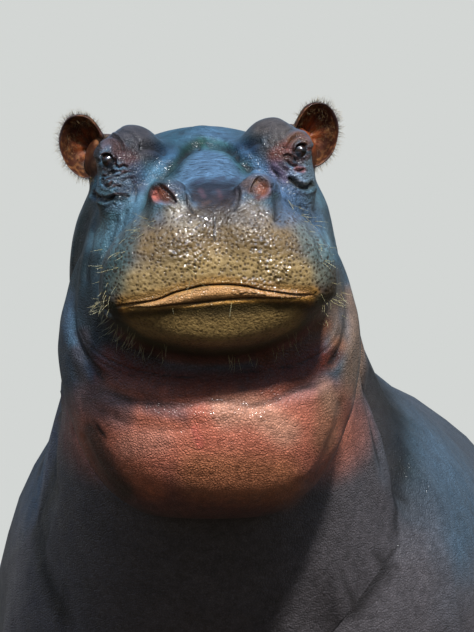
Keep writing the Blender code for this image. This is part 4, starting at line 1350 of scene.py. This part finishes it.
hide = {  # the patterns' sizes and heights in mm, then the finish
    "pebble": 5.0, "pebbleHeight": 0.75, "plate": 17.0, "plateHeight": 0.5,
    "pore": 6.4, "poreHeight": 0.8, "bead": 8.4, "beadHeight": 2.0,
    "ripple": 13.0, "rippleHeight": 1.6, "grain": 2.2, "grainHeight": 0.25,
    "wrinkleAcross": 24.0, "wrinkleDown": 5.0, "wrinkleHeight": 1.9,
    "blotch": 90.0, "mottle": 14.0, "wetPatch": 28.0, "bend": 22.2222, "bendReach": 6.0,
    "dullRoughness": 0.52, "wetRoughness": 0.40, "patchRoughness": 0.06, "shine": 0.32,
    "dryCoat": 0.20, "wetCoat": 1.0, "coatRoughness": 0.15, "wetCoatRoughness": 0.04,
    "filmIor": 1.75,  # above water's 1.33, so that its small lights are as strong as in the sun
    "poreShare": 0.84, "poreWater": 0.55,
    # the crease tint is painted shade for the hollows of creases
    "poreTint": "#33210a", "creaseTint": "#171412",
}


def wetHide():
    # bare living hide, wet: pebbled, pored on the muzzle, with painted shade in its creases,
    # between its pebbles and in its furrows, and a film of water that gives small sharp lights over
    # a dull skin
    material, tree, shader = newMaterial("wetHide")
    add = partial(addNode, tree)
    place = add("TexCoord").outputs["Object"]
    tint = add("Attribute", attribute_name="tint").outputs["Color"]
    hollow, pores, pebbles, wet, wrinkled = (
        add("Attribute", attribute_name=name).outputs["Fac"]
        for name in ("hollow", "pores", "pebbles", "wet", "wrinkles"))

    # the patterns: cells and rows on bent ground, so that none looks ruled, and clouds
    warp = add("TexNoise", {"Vector": place, "Scale": 1000 / hide["bend"], "Detail": 2.0})
    bent = add("VectorMath", {0: warp.outputs["Color"], "Scale": hide["bendReach"] / 1000},
               operation="SCALE")
    bent = add("VectorMath", {0: bent, 1: place}, operation="ADD")
    cells, clouds = {}, {}
    for name, feature, scatter in (("pebble", "DISTANCE_TO_EDGE", 1.0),
                                   ("plate", "DISTANCE_TO_EDGE", 1.0),
                                   ("pore", "F1", 0.9), ("bead", "F1", 1.0)):
        size = {"Vector": bent, "Scale": 1000 / hide[name], "Randomness": scatter}
        cells[name] = add("TexVoronoi", size, feature=feature)
    for name, detail in (("grain", 2.0), ("blotch", 4.0), ("mottle", 3.0), ("wetPatch", 2.0),
                         ("ripple", 2.0)):
        size = {"Vector": place, "Scale": 1000 / hide[name], "Detail": detail, "Roughness": 0.6}
        clouds[name] = add("TexNoise", size)
    pebble = add("MapRange", {0: cells["pebble"], 1: 0.0, 2: 0.30})
    plate = add("MapRange", {0: cells["plate"], 1: 0.0, 2: 0.10})
    bead = add("MapRange", {0: cells["bead"], 1: 0.1, 2: 0.75, 3: 1.0, 4: 0.0})
    pore = add("MapRange", {0: cells["pore"], 1: 0.18, 2: 0.52, 3: 1.0, 4: 0.0})
    pore = add("Math", {0: pore, 1: pores}, operation="MULTIPLY")
    stretch = (1000 / hide["wrinkleAcross"], 1000 / hide["wrinkleDown"], 1000 / hide["wrinkleDown"])
    rows = add("Mapping", {"Vector": bent, "Scale": stretch})
    wrinkle = add("TexNoise", {"Vector": rows, "Scale": 1.0, "Detail": 2.0})

    # colour: the painted tint, lighter and darker by the clouds, dark in the pores, and with
    # painted shade between pebbles and in furrows and creases
    shadeBetweenPebbles = add("Math", {0: 1.0, 1: pebble}, operation="SUBTRACT")
    shadeBetweenPebbles = add("Math", {0: shadeBetweenPebbles, 1: pebbles}, operation="MULTIPLY")
    furrow = add("MapRange", {0: wrinkle, 1: 0.50, 2: 0.34})
    furrow = add("Math", {0: furrow, 1: wrinkled}, operation="MULTIPLY")
    light = add("MapRange", {0: clouds["blotch"], 1: 0.25, 2: 0.75, 3: 0.76, 4: 1.24})
    for name, least, most in (("grain", 0.90, 1.10), ("mottle", 0.74, 1.26)):
        share = add("MapRange", {0: clouds[name], 1: 0.3, 2: 0.7, 3: least, 4: most})
        light = add("Math", {0: light, 1: share}, operation="MULTIPLY")
    for share, most, dark in ((shadeBetweenPebbles, 1.06, 0.36), (furrow, 1.05, 0.55)):
        share = add("Math", {0: share, 1: dark}, operation="MULTIPLY")
        share = add("Math", {0: most, 1: share}, operation="SUBTRACT")
        light = add("Math", {0: light, 1: share}, operation="MULTIPLY")
    colour = add("VectorMath", {0: tint, "Scale": light}, operation="SCALE").outputs[0]
    inPore = add("Math", {0: pore, 1: hide["poreShare"]}, operation="MULTIPLY")
    # painted shade: creases darken by how deep they are
    paintedCreaseShade = add("MapRange", {0: hollow, 1: 0.14, 2: 1.2, 3: 0.0, 4: 0.75})
    for share, dark in ((inPore, "poreTint"), (paintedCreaseShade, "creaseTint")):
        colour = add("Mix", {0: share, 6: colour, 7: (*linear(hide[dark]), 1)},
                     data_type="RGBA").outputs[2]
    tree.links.new(colour, shader.inputs["Base Color"])

    # relief, in metres
    standing = add("Math", {0: pores, 1: hide["poreWater"]}, operation="MULTIPLY")
    standing = add("Math", {0: wet, 1: standing}, operation="MAXIMUM")
    height = add("Math", {0: pebble, 1: pebbles}, operation="MULTIPLY")
    height = add("Math", {0: height, 1: hide["pebbleHeight"] / 1000}, operation="MULTIPLY")
    for share, mask, tall in ((plate, pebbles, "plateHeight"), (bead, standing, "beadHeight"),
                              (clouds["ripple"], standing, "rippleHeight"),
                              (wrinkle, wrinkled, "wrinkleHeight")):
        mask = add("Math", {0: mask, 1: hide[tall] / 1000}, operation="MULTIPLY")
        height = add("Math", {0: share, 1: mask, 2: height}, operation="MULTIPLY_ADD")
    for share, tall in ((pore, -hide["poreHeight"]), (clouds["grain"], hide["grainHeight"])):
        height = add("Math", {0: share, 1: tall / 1000, 2: height}, operation="MULTIPLY_ADD")
    bump = add("Bump", {"Height": height, "Distance": 1.0, "Strength": 1.0})
    tree.links.new(bump.outputs[0], shader.inputs["Normal"])
    tree.links.new(bump.outputs[0], shader.inputs["Coat Normal"])

    # the film of water: patchy, full where it stands, thin on dry pebbles and pores
    patch = clouds["wetPatch"]
    film = add("MapRange", {0: patch, 1: 0.30, 2: 0.60, 3: 0.5, 4: 1.0})
    film = add("Math", {0: wet, 1: film}, operation="MULTIPLY", use_clamp=True)
    rough = add("MapRange", {0: film, 3: hide["dullRoughness"], 4: hide["wetRoughness"]})
    patchy = add("MapRange", {0: patch, 1: 0.35, 2: 0.65, 3: -1.0, 4: 1.0})
    rough = add("Math", {0: patchy, 1: hide["patchRoughness"], 2: rough}, operation="MULTIPLY_ADD")
    tree.links.new(rough.outputs[0], shader.inputs["Roughness"])
    dry = add("MapRange", {0: patch, 1: 0.62, 2: 0.42, 3: 0.2, 4: 1.0})
    dry = add("Math", {0: dry, 1: hide["dryCoat"]}, operation="MULTIPLY")
    coarse = add("Math", {0: pebbles, 1: pores}, operation="MAXIMUM")
    coarse = add("MapRange", {0: coarse, 1: 0.0, 2: 1.0, 3: 0.2, 4: 1.0})
    dry = add("Math", {0: dry, 1: coarse}, operation="MULTIPLY")
    standing = add("Math", {0: film, 1: hide["wetCoat"]}, operation="MULTIPLY")
    coat = add("Math", {0: dry, 1: standing}, operation="MAXIMUM")
    tree.links.new(coat.outputs[0], shader.inputs["Coat Weight"])
    shader.inputs["Specular IOR Level"].default_value = hide["shine"]
    shader.inputs["Coat IOR"].default_value = hide["filmIor"]
    coat = add("MapRange", {0: film, 3: hide["coatRoughness"], 4: hide["wetCoatRoughness"]})
    tree.links.new(coat.outputs[0], shader.inputs["Coat Roughness"])
    return material


# eyeballs
eyeFinish = {  # radii in m, the rays' spacing in mm
    "iris": "#2e180e", "irisRim": "#0e0806", "white": "#2c2220", "pupil": "#030303",
    "irisRadius": 0.0125, "pupilHalfWide": 0.0052, "pupilHalfTall": 0.0040,
    "ray": 1.1111, "roughness": 0.22, "filmRoughness": 0.03, "filmIor": 1.55,
}


def darkEye():
    # a living eye: brown iris, wide dark pupil and a clear wet film, which gives one hard light
    material, tree, shader = newMaterial("wetEye")
    add = partial(addNode, tree)
    spot = add("Attribute", attribute_name="gazeSpot").outputs["Vector"]
    rings = []
    for wide, tall in ((eyeFinish["irisRadius"], eyeFinish["irisRadius"]),
                       (eyeFinish["pupilHalfWide"], eyeFinish["pupilHalfTall"])):
        flat = add("VectorMath", {0: spot, 1: (1 / wide, 1 / tall, 0)}, operation="MULTIPLY")
        rings.append(add("VectorMath", {0: flat}, operation="LENGTH").outputs["Value"])
    iris, pupil = rings
    rays = add("TexNoise", {"Vector": spot, "Scale": 1000 / eyeFinish["ray"], "Detail": 3.0})
    colour = add("Mix", {0: rays, 6: (*linear(eyeFinish["iris"]), 1),
                         7: (*linear(eyeFinish["irisRim"]), 1)}, data_type="RGBA").outputs[2]
    for ring, start, end, tint in ((iris, 0.72, 0.95, "irisRim"), (iris, 0.98, 1.10, "white"),
                                   (pupil, 1.08, 0.92, "pupil")):
        edge = add("MapRange", {0: ring, 1: start, 2: end})
        colour = add("Mix", {0: edge, 6: colour, 7: (*linear(eyeFinish[tint]), 1)},
                     data_type="RGBA").outputs[2]
    tree.links.new(colour, shader.inputs["Base Color"])
    shader.inputs["Roughness"].default_value = eyeFinish["roughness"]
    shader.inputs["Coat Weight"].default_value = 1.0
    shader.inputs["Coat Roughness"].default_value = eyeFinish["filmRoughness"]
    shader.inputs["Coat IOR"].default_value = eyeFinish["filmIor"]
    return material


def buildEye(name, side, material):
    # a ball with the clear bulge of the cornea on its gaze
    radius, bulge = head["eyeRadius"], eyeShape["cornea"]
    place = eyeFrame(side)
    bm = bmesh.new()
    bmesh.ops.create_uvsphere(bm, u_segments=64, v_segments=48, radius=radius)
    spots = []
    for vertex in bm.verts:
        r = math.hypot(vertex.co.x, vertex.co.y)
        spots.append((vertex.co.x, vertex.co.y, vertex.co.z - radius if vertex.co.z > 0 else -1))
        if vertex.co.z > 0:
            vertex.co.z += bulge * max(0.0, 1 - (r / eyeFinish["irisRadius"]) ** 2) ** 1.5
    eye = finishObject("eyeball_" + name, bm)
    layer = eye.data.attributes.new("gazeSpot", "FLOAT_VECTOR", "POINT")
    layer.data.foreach_set("vector", [c for spot in spots for c in spot])
    eye.data.transform(place)
    for polygon in eye.data.polygons:
        polygon.use_smooth = True
    eye.data.materials.append(material)
    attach(eye, "root")
    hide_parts("eye_" + name)
    return eye


# toenails
nailShape = {
    # height, half width, half depth, in m
    "rows": [(0.000, 0.025, 0.018), (0.022, 0.027, 0.020), (0.042, 0.023, 0.015),
             (0.054, 0.012, 0.006)],
    "reach": (0.147, 0.165), "ahead": 0.004, "lean": 0.20, "powers": (2.6, 2.0),
    "ringSwell": 0.012, "ringStep": 1.6, "rings": 26, "sides": 40,
    "horn": "#4d4038", "hornEdge": "#776657", "ridge": 0.0004,
    "streak": 3.84615, "wear": 22.2222, "streakSquash": 0.12,  # mm, mm, share
    "dustHeights": (0.022, 0.004),
}


def dullHorn():
    # hoof-like horn, worn by walking: upright streaks, dusty and paler at the foot
    material, tree, shader = newMaterial("wornHorn")
    add = partial(addNode, tree)
    place = add("TexCoord").outputs["Object"]
    tall = add("Mapping", {"Vector": place, "Scale": (1, 1, nailShape["streakSquash"])})
    streak = add("TexNoise", {"Vector": tall, "Scale": 1000 / nailShape["streak"], "Detail": 4.0})
    wear = add("TexNoise", {"Vector": place, "Scale": 1000 / nailShape["wear"], "Detail": 3.0})
    z = add("SeparateXYZ", {0: place}).outputs[2]
    top, bottom = nailShape["dustHeights"]
    low = add("MapRange", {0: z, 1: top, 2: bottom, 3: 0.0, 4: 0.7})
    share = add("Math", {0: streak, 1: low}, operation="ADD")
    share = add("MapRange", {0: share, 1: 0.35, 2: 1.0})
    colour = add("Mix", {0: share, 6: (*linear(nailShape["horn"]), 1),
                         7: (*linear(nailShape["hornEdge"]), 1)}, data_type="RGBA")
    tree.links.new(colour.outputs[2], shader.inputs["Base Color"])
    rough = add("MapRange", {0: wear, 1: 0.3, 2: 0.7, 3: 0.42, 4: 0.68})
    tree.links.new(rough.outputs[0], shader.inputs["Roughness"])
    bump = add("Bump", {"Height": streak, "Distance": nailShape["ridge"]})
    tree.links.new(bump.outputs[0], shader.inputs["Normal"])
    return material


def buildNail(name, foot, way, material):
    # blunt, rounded, with faint growth rings
    reachX, reachY = nailShape["reach"]
    middle = foot + Vector((way.x * reachX, way.y * reachY, 0))
    across = Vector((-way.y, way.x, 0))
    outlines = []
    for step, (z, wide, deep) in enumerate(eased(nailShape["rows"], nailShape["rings"])):
        centre = middle + way * (nailShape["ahead"] - nailShape["lean"] * z) + zAxis * z
        swell = 1 + nailShape["ringSwell"] * math.sin(step * nailShape["ringStep"])
        outlines.append(section(centre, across, way, wide * swell, deep * swell, deep,
                                nailShape["powers"], nailShape["sides"]))
    bm = bmesh.new()
    addLoft(bm, outlines, bodyPlace)
    caps = [f for f in bm.faces if len(f.verts) > 4]
    for cap in caps[1:]:
        bmesh.ops.poke(bm, faces=[cap])
    nail = finishObject(name.replace("nail", "toenail"), bm)
    for polygon in nail.data.polygons:
        polygon.use_smooth = len(polygon.vertices) < 5
    nail.data.materials.append(material)
    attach(nail, "root")
    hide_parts(name)


def buildNails():
    horn = dullHorn()
    for pair, leg in (("front", "foreleg"), ("hind", "hindleg")):
        footY, spread = body["feet"][leg]
        for name, side in bothSides.items():
            for k, (foot, way) in enumerate(toePlaces(footY, side, spread)):
                buildNail(f"{pair}_{name}_nail_{k + 1}", foot, way, horn)


# hair: thin tapered tufts, each hair a solid of its own
tuft = {  # a hair's corners, its rings, its size on the map, mm between tints and its finish
    "corners": 16, "steps": 5, "patch": 0.003, "varies": 6.25, "roughness": 0.38,
}
hairKinds = {  # lengths and thickness in mm
    "fringe": {"count": 620, "long": (8, 19), "thick": 0.55, "bend": 0.35},
    "cup": {"count": 420, "long": (5, 12), "thick": 0.5, "bend": 0.5},
    "whiskers": {"long": (10, 30), "thick": 0.8, "bend": 0.3},
    "bristles": {"count": 150, "long": (45, 95), "thick": 0.9, "bend": 0.25},
}
# the tips are painted paler for the light that shines through them, and the whiskers' near-white is
# partly painted light
hairTints = {  # at the root and at the tip
    "wetEarHair": ("#3a2114", "#b9a06a"), "paleWhisker": ("#a89a66", "#fbf3c8"),
    "tailBristle": ("#16120f", "#3b3129"),
}


def addHair(bm, root, way, kind, rng):
    # one hair from root along way, bending sideways, three-sided and coming to a point
    look = hairKinds[kind]
    length = rng.uniform(*look["long"]) / 1000
    side = way.cross(Vector((rng.gauss(0, 1), rng.gauss(0, 1), rng.gauss(0, 1)))).normalized()
    other = way.cross(side)
    rings = []
    for k in range(tuft["steps"]):
        t = k / tuft["steps"]
        centre = root + way * (length * (t - 0.06)) + side * (length * look["bend"] * t * t)
        r = look["thick"] / 2000 * (1 - t) ** 0.7
        rings.append([bm.verts.new(centre + side * (r * math.cos(a)) + other * (r * math.sin(a)))
                      for a in (0, math.tau / 3, 2 * math.tau / 3)])
    tip = bm.verts.new(root + way * length + side * (length * look["bend"]))
    faces = [bm.faces.new(rings[0][::-1])]
    for near, far in zip(rings, rings[1:]):
        for k in range(3):
            faces.append(bm.faces.new((near[k], near[(k + 1) % 3], far[(k + 1) % 3], far[k])))
    faces += [bm.faces.new((rings[-1][k], rings[-1][(k + 1) % 3], tip)) for k in range(3)]
    return faces


def wiryHair(name):
    # stiff wet hair: thin at the tips, which are painted paler for the light that comes through
    # them
    material, tree, shader = newMaterial(name)
    tint, tipLitTint = (linear(colour) for colour in hairTints[name])
    add = partial(addNode, tree)
    along = add("Attribute", attribute_name="alongHair").outputs["Fac"]
    place = add("TexCoord").outputs["Object"]
    vary = add("TexNoise", {"Vector": place, "Scale": 1000 / tuft["varies"]})
    share = add("Math", {0: along, 1: vary}, operation="MULTIPLY")
    share = add("MapRange", {0: share, 1: 0.1, 2: 0.6})
    colour = add("Mix", {0: share, 6: (*tint, 1), 7: (*tipLitTint, 1)}, data_type="RGBA")
    tree.links.new(colour.outputs[2], shader.inputs["Base Color"])
    shader.inputs["Roughness"].default_value = tuft["roughness"]
    return material


def finishHair(name, bm, material):
    hair = finishObject(name, bm)
    mesh = hair.data
    number = np.arange(len(mesh.vertices)) % tuft["corners"]
    along = np.minimum(1.0, number // 3 / tuft["steps"])
    storeFloat(mesh, "alongHair", along)
    # each hair's patch of the map lies where its root is on the skin's unwrap
    roots = readPoints(mesh).reshape(-1, tuft["corners"], 3)[:, :3].mean(axis=1)
    patches = np.repeat([nearestPlace(Vector(root)) for root in roots], tuft["corners"], axis=0)
    patches += np.stack([number % 3 / 2, along], axis=1) * tuft["patch"]
    corners = np.empty(len(mesh.loops), int)
    mesh.loops.foreach_get("vertex_index", corners)
    layer = mesh.uv_layers.new(name=mapName)
    layer.uv.foreach_set("vector", patches[corners].astype(np.float32).ravel())
    for polygon in hair.data.polygons:
        polygon.use_smooth = True
    hair.data.materials.append(material)
    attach(hair, "root")
    return hair


def cupSpot(angle, side, share):
    # a place on the wall inside the cup, share of the way out from its middle to the rim
    ahead = np.interp(share, (0.10, 0.32, 0.54, 0.74, 0.86, 0.95),
                      (-0.046, -0.042, -0.034, -0.023, -0.010, 0.002))
    return earPoint((share, float(ahead), 0.003, 0.005), 0.9, angle, side)


def buildEarHair(name, side, material):
    rng = random.Random(11 if side > 0 else 12)
    place = earPlace(side)
    spin = place.to_3x3()
    bm = bmesh.new()
    for _ in range(hairKinds["fringe"]["count"]):
        angle = rng.uniform(0, math.tau)
        share = rng.uniform(0.93, 1.0)
        spot = earPoint((share, rng.uniform(-0.006, 0.002), 0.0, 0.0), 0.5, angle, side)
        out = Vector((spot.x, 0, spot.z)).normalized()
        way = out * rng.uniform(0.5, 1.0)
        way += Vector((rng.gauss(0, 0.25), -rng.uniform(0.2, 0.9), rng.gauss(0, 0.25)))
        addHair(bm, place @ spot, (spin @ way).normalized(), "fringe", rng)
    for _ in range(hairKinds["cup"]["count"]):
        angle = rng.uniform(0, math.tau)
        spot = cupSpot(angle, side, rng.uniform(0.45, 0.93))
        way = Vector((-0.5 * math.cos(angle) * side + rng.gauss(0, 0.3), -0.7,
                      -0.5 * math.sin(angle) + rng.gauss(0, 0.3)))
        addHair(bm, place @ spot, (spin @ way).normalized(), "cup", rng)
    return finishHair(f"ear_fringe_{name}", bm, material)


def surfaceFinder(skin):
    points = readPoints(skin.data)
    normals = readNormals(skin.data)
    flat, depth = frontMap(points)
    facing = normals @ np.array(frontLook) < 0.1
    index = np.flatnonzero(facing & (depth < 0.1) & (points[:, 2] > 1.0))
    tree = KDTree(len(index))
    for i in index:
        tree.insert((flat[i, 0], flat[i, 1], 0), int(i))
    tree.balance()
    return points, normals, tree


whiskerPlaces = [  # lines in the front view, how many, spread in mm
    ([(-93, -128), (-129, -151), (-156, -187), (-177, -235), (-175, -270)], 46, 10),
    ([(-182, -262), (-165, -301), (-136, -333)], 42, 9),
    ([(-140, -319), (-101, -347), (-58, -356)], 24, 8),
    ([(152, -93), (184, -128), (209, -173), (230, -217)], 40, 9),
    ([(230, -235), (227, -270), (206, -301)], 30, 10),
    ([(40, -358), (93, -352), (156, -333), (195, -301)], 26, 7),
    ([(-76, -262), (22, -217), (156, -247)], 10, 16),
]


def buildWhiskers(skin, material):
    rng = random.Random(5)
    points, normals, tree = surfaceFinder(skin)
    bm = bmesh.new()
    for line, count, spread in whiskerPlaces:
        spots = eased(line, 60)
        for _ in range(count):
            spot = spots[rng.randrange(60)]
            _, i, _ = tree.find((spot[0] + rng.gauss(0, spread), spot[1] + rng.gauss(0, spread), 0))
            way = Vector(normals[i])
            way += Vector((rng.gauss(0, 0.35), rng.gauss(0, 0.2), -rng.uniform(0.2, 1.1)))
            addHair(bm, Vector(points[i]), way.normalized(), "whiskers", rng)
    return finishHair("whiskers", bm, material)


def buildBristles(skin, material):
    rng = random.Random(8)
    points, normals = readPoints(skin.data), readNormals(skin.data)
    y = points[:, 1] - bodyPlace.translation.y
    near = np.flatnonzero((y > 1.19) & (points[:, 2] < 0.90) & (np.abs(normals[:, 0]) > 0.55))
    bm = bmesh.new()
    for _ in range(hairKinds["bristles"]["count"]):
        i = int(near[rng.randrange(len(near))])
        way = Vector((normals[i][0] * 0.55, rng.gauss(0, 0.2), -1.0 + rng.gauss(0, 0.2)))
        addHair(bm, Vector(points[i]), way.normalized(), "bristles", rng)
    return finishHair("tail_bristles", bm, material)


# floor, light and camera
studio = {
    "pale": "#d3d6d4", "floorShade": 0.60, "reach": 80.0, "floorClear": 4.0, "floorGone": 9.0,
    "skyTop": "#9fbce6", "skySide": "#a9aca8", "skyBelow": "#5c544a", "skyStrength": 0.62,
    "sun": 4.5, "sunFrom": (46.5, 0, 15), "sunSpread": 5.0,
    "lens": 256.10127, "frame": 36.0, "farthest": 400.0,  # mm, mm and m
    "panelTint": "#c4dbff", "panelPower": 60.0, "panelSize": 3.2, "panelSpot": (0.0, -3.4, 4.6),
}


def glow(name, tint):
    # plain paper that shines by its own even light, so that it takes no shade
    material, tree, shader = newMaterial(name)
    shader.inputs["Base Color"].default_value = (0, 0, 0, 1)
    shader.inputs["Roughness"].default_value = 1.0
    shader.inputs["Emission Color"].default_value = (*linear(tint), 1)
    shader.inputs["Emission Strength"].default_value = 1.0
    shader.inputs["Specular IOR Level"].default_value = 0.0
    return material, tree, shader


def addStanding(name, data, spot):
    # puts a light or the camera in the scene
    obj = bpy.data.objects.new(name, data)
    bpy.context.scene.collection.objects.link(obj)
    obj.location = spot
    return obj


def buildSky():
    world = bpy.data.worlds.new("softSky")
    bpy.context.scene.world = world
    world.use_nodes = True
    tree = world.node_tree
    add = partial(addNode, tree)
    up = add("SeparateXYZ", {0: add("TexCoord").outputs["Generated"]}).outputs[2]
    sky = (*linear(studio["skySide"]), 1)
    for start, end, tint in ((0.0, 0.7, "skyTop"), (0.05, -0.25, "skyBelow")):
        share = add("MapRange", {0: up, 1: start, 2: end})
        sky = add("Mix", {0: share, 6: sky, 7: (*linear(studio[tint]), 1)},
                  data_type="RGBA").outputs[2]
    background = tree.nodes["Background"]
    tree.links.new(sky, background.inputs["Color"])
    background.inputs["Strength"].default_value = studio["skyStrength"]


def buildFloor():
    bm = bmesh.new()
    bmesh.ops.create_icosphere(bm, subdivisions=5, radius=studio["reach"])
    dome = finishObject("backdrop", bm)
    dome.data.materials.append(glow("palePaper", studio["pale"])[0])
    # seen by the camera, but lights nothing
    dome.visible_diffuse = dome.visible_glossy = dome.visible_shadow = False
    dome.visible_transmission = False
    dome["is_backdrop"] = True

    bm = bmesh.new()
    bmesh.ops.create_circle(bm, cap_ends=True, radius=studio["reach"] * 0.99, segments=96)
    floor = finishObject("floor", bm)
    # the floor takes the shadow near the animal and fades into the backdrop
    material, tree, shader = glow("palePaperFloor", studio["pale"])
    add = partial(addNode, tree)
    away = add("VectorMath", {0: add("TexCoord").outputs["Object"]}, operation="LENGTH")
    fade = add("MapRange", {0: away.outputs["Value"], 1: studio["floorClear"],
                            2: studio["floorGone"]}, interpolation_type="SMOOTHSTEP")
    tree.links.new(fade.outputs[0], shader.inputs["Emission Strength"])
    shade = [studio["floorShade"] * c for c in linear(studio["pale"])]
    base = add("Mix", {0: fade, 6: (*shade, 1), 7: (0, 0, 0, 1)}, data_type="RGBA")
    tree.links.new(base.outputs[2], shader.inputs["Base Color"])
    floor.data.materials.append(material)
    floor.visible_diffuse = floor.visible_glossy = False
    floor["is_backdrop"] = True


def buildLights():
    light = bpy.data.lights.new("keyLight", "SUN")
    light.energy, light.angle = studio["sun"], math.radians(studio["sunSpread"])
    lamp = addStanding("keyLight", light, (0, 0, 0))
    lamp.rotation_euler = [math.radians(d) for d in studio["sunFrom"]]

    light = bpy.data.lights.new("topPanel", "AREA")
    light.energy, light.size = studio["panelPower"], studio["panelSize"]
    light.color = linear(studio["panelTint"])
    panel = addStanding("topPanel", light, studio["panelSpot"])
    away = Vector(studio["panelSpot"]) - headPlace.translation
    panel.rotation_euler = away.to_track_quat("Z", "Y").to_euler()
    panel.visible_camera = False


def buildCamera():
    camera = bpy.data.cameras.new("camera")
    camera.lens, camera.sensor_width = studio["lens"], studio["frame"]
    camera.clip_end = studio["farthest"]
    eye = addStanding("camera", camera, frontSpot)
    eye.rotation_mode = "QUATERNION"
    eye.rotation_quaternion = frontLook.to_track_quat("-Z", "Y")
    bpy.context.scene.camera = eye
    bpy.context.scene.view_settings.view_transform = "Standard"


print("unwrapping the skin")
unwrapSkin(skin)
nearestPlace = rootFinder(skin)
print("painting the hide")
paintHide(skin)
skin.data.materials.clear()
skin.data.materials.append(wetHide())
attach(skin, "root")
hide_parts(*[node for node in frame["nodes"] if "eye" not in node and "nail" not in node])
print("eyes, nails and hair")
eyeFilm = darkEye()
earHair = wiryHair("wetEarHair")
paleWhisker = wiryHair("paleWhisker")
for name, side in bothSides.items():
    buildEye(name, side, eyeFilm)
    buildEarHair(name, side, earHair)
buildNails()
buildWhiskers(skin, paleWhisker)
buildBristles(skin, wiryHair("tailBristle"))
print("studio")
buildSky()
buildFloor()
buildLights()
buildCamera()
low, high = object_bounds()
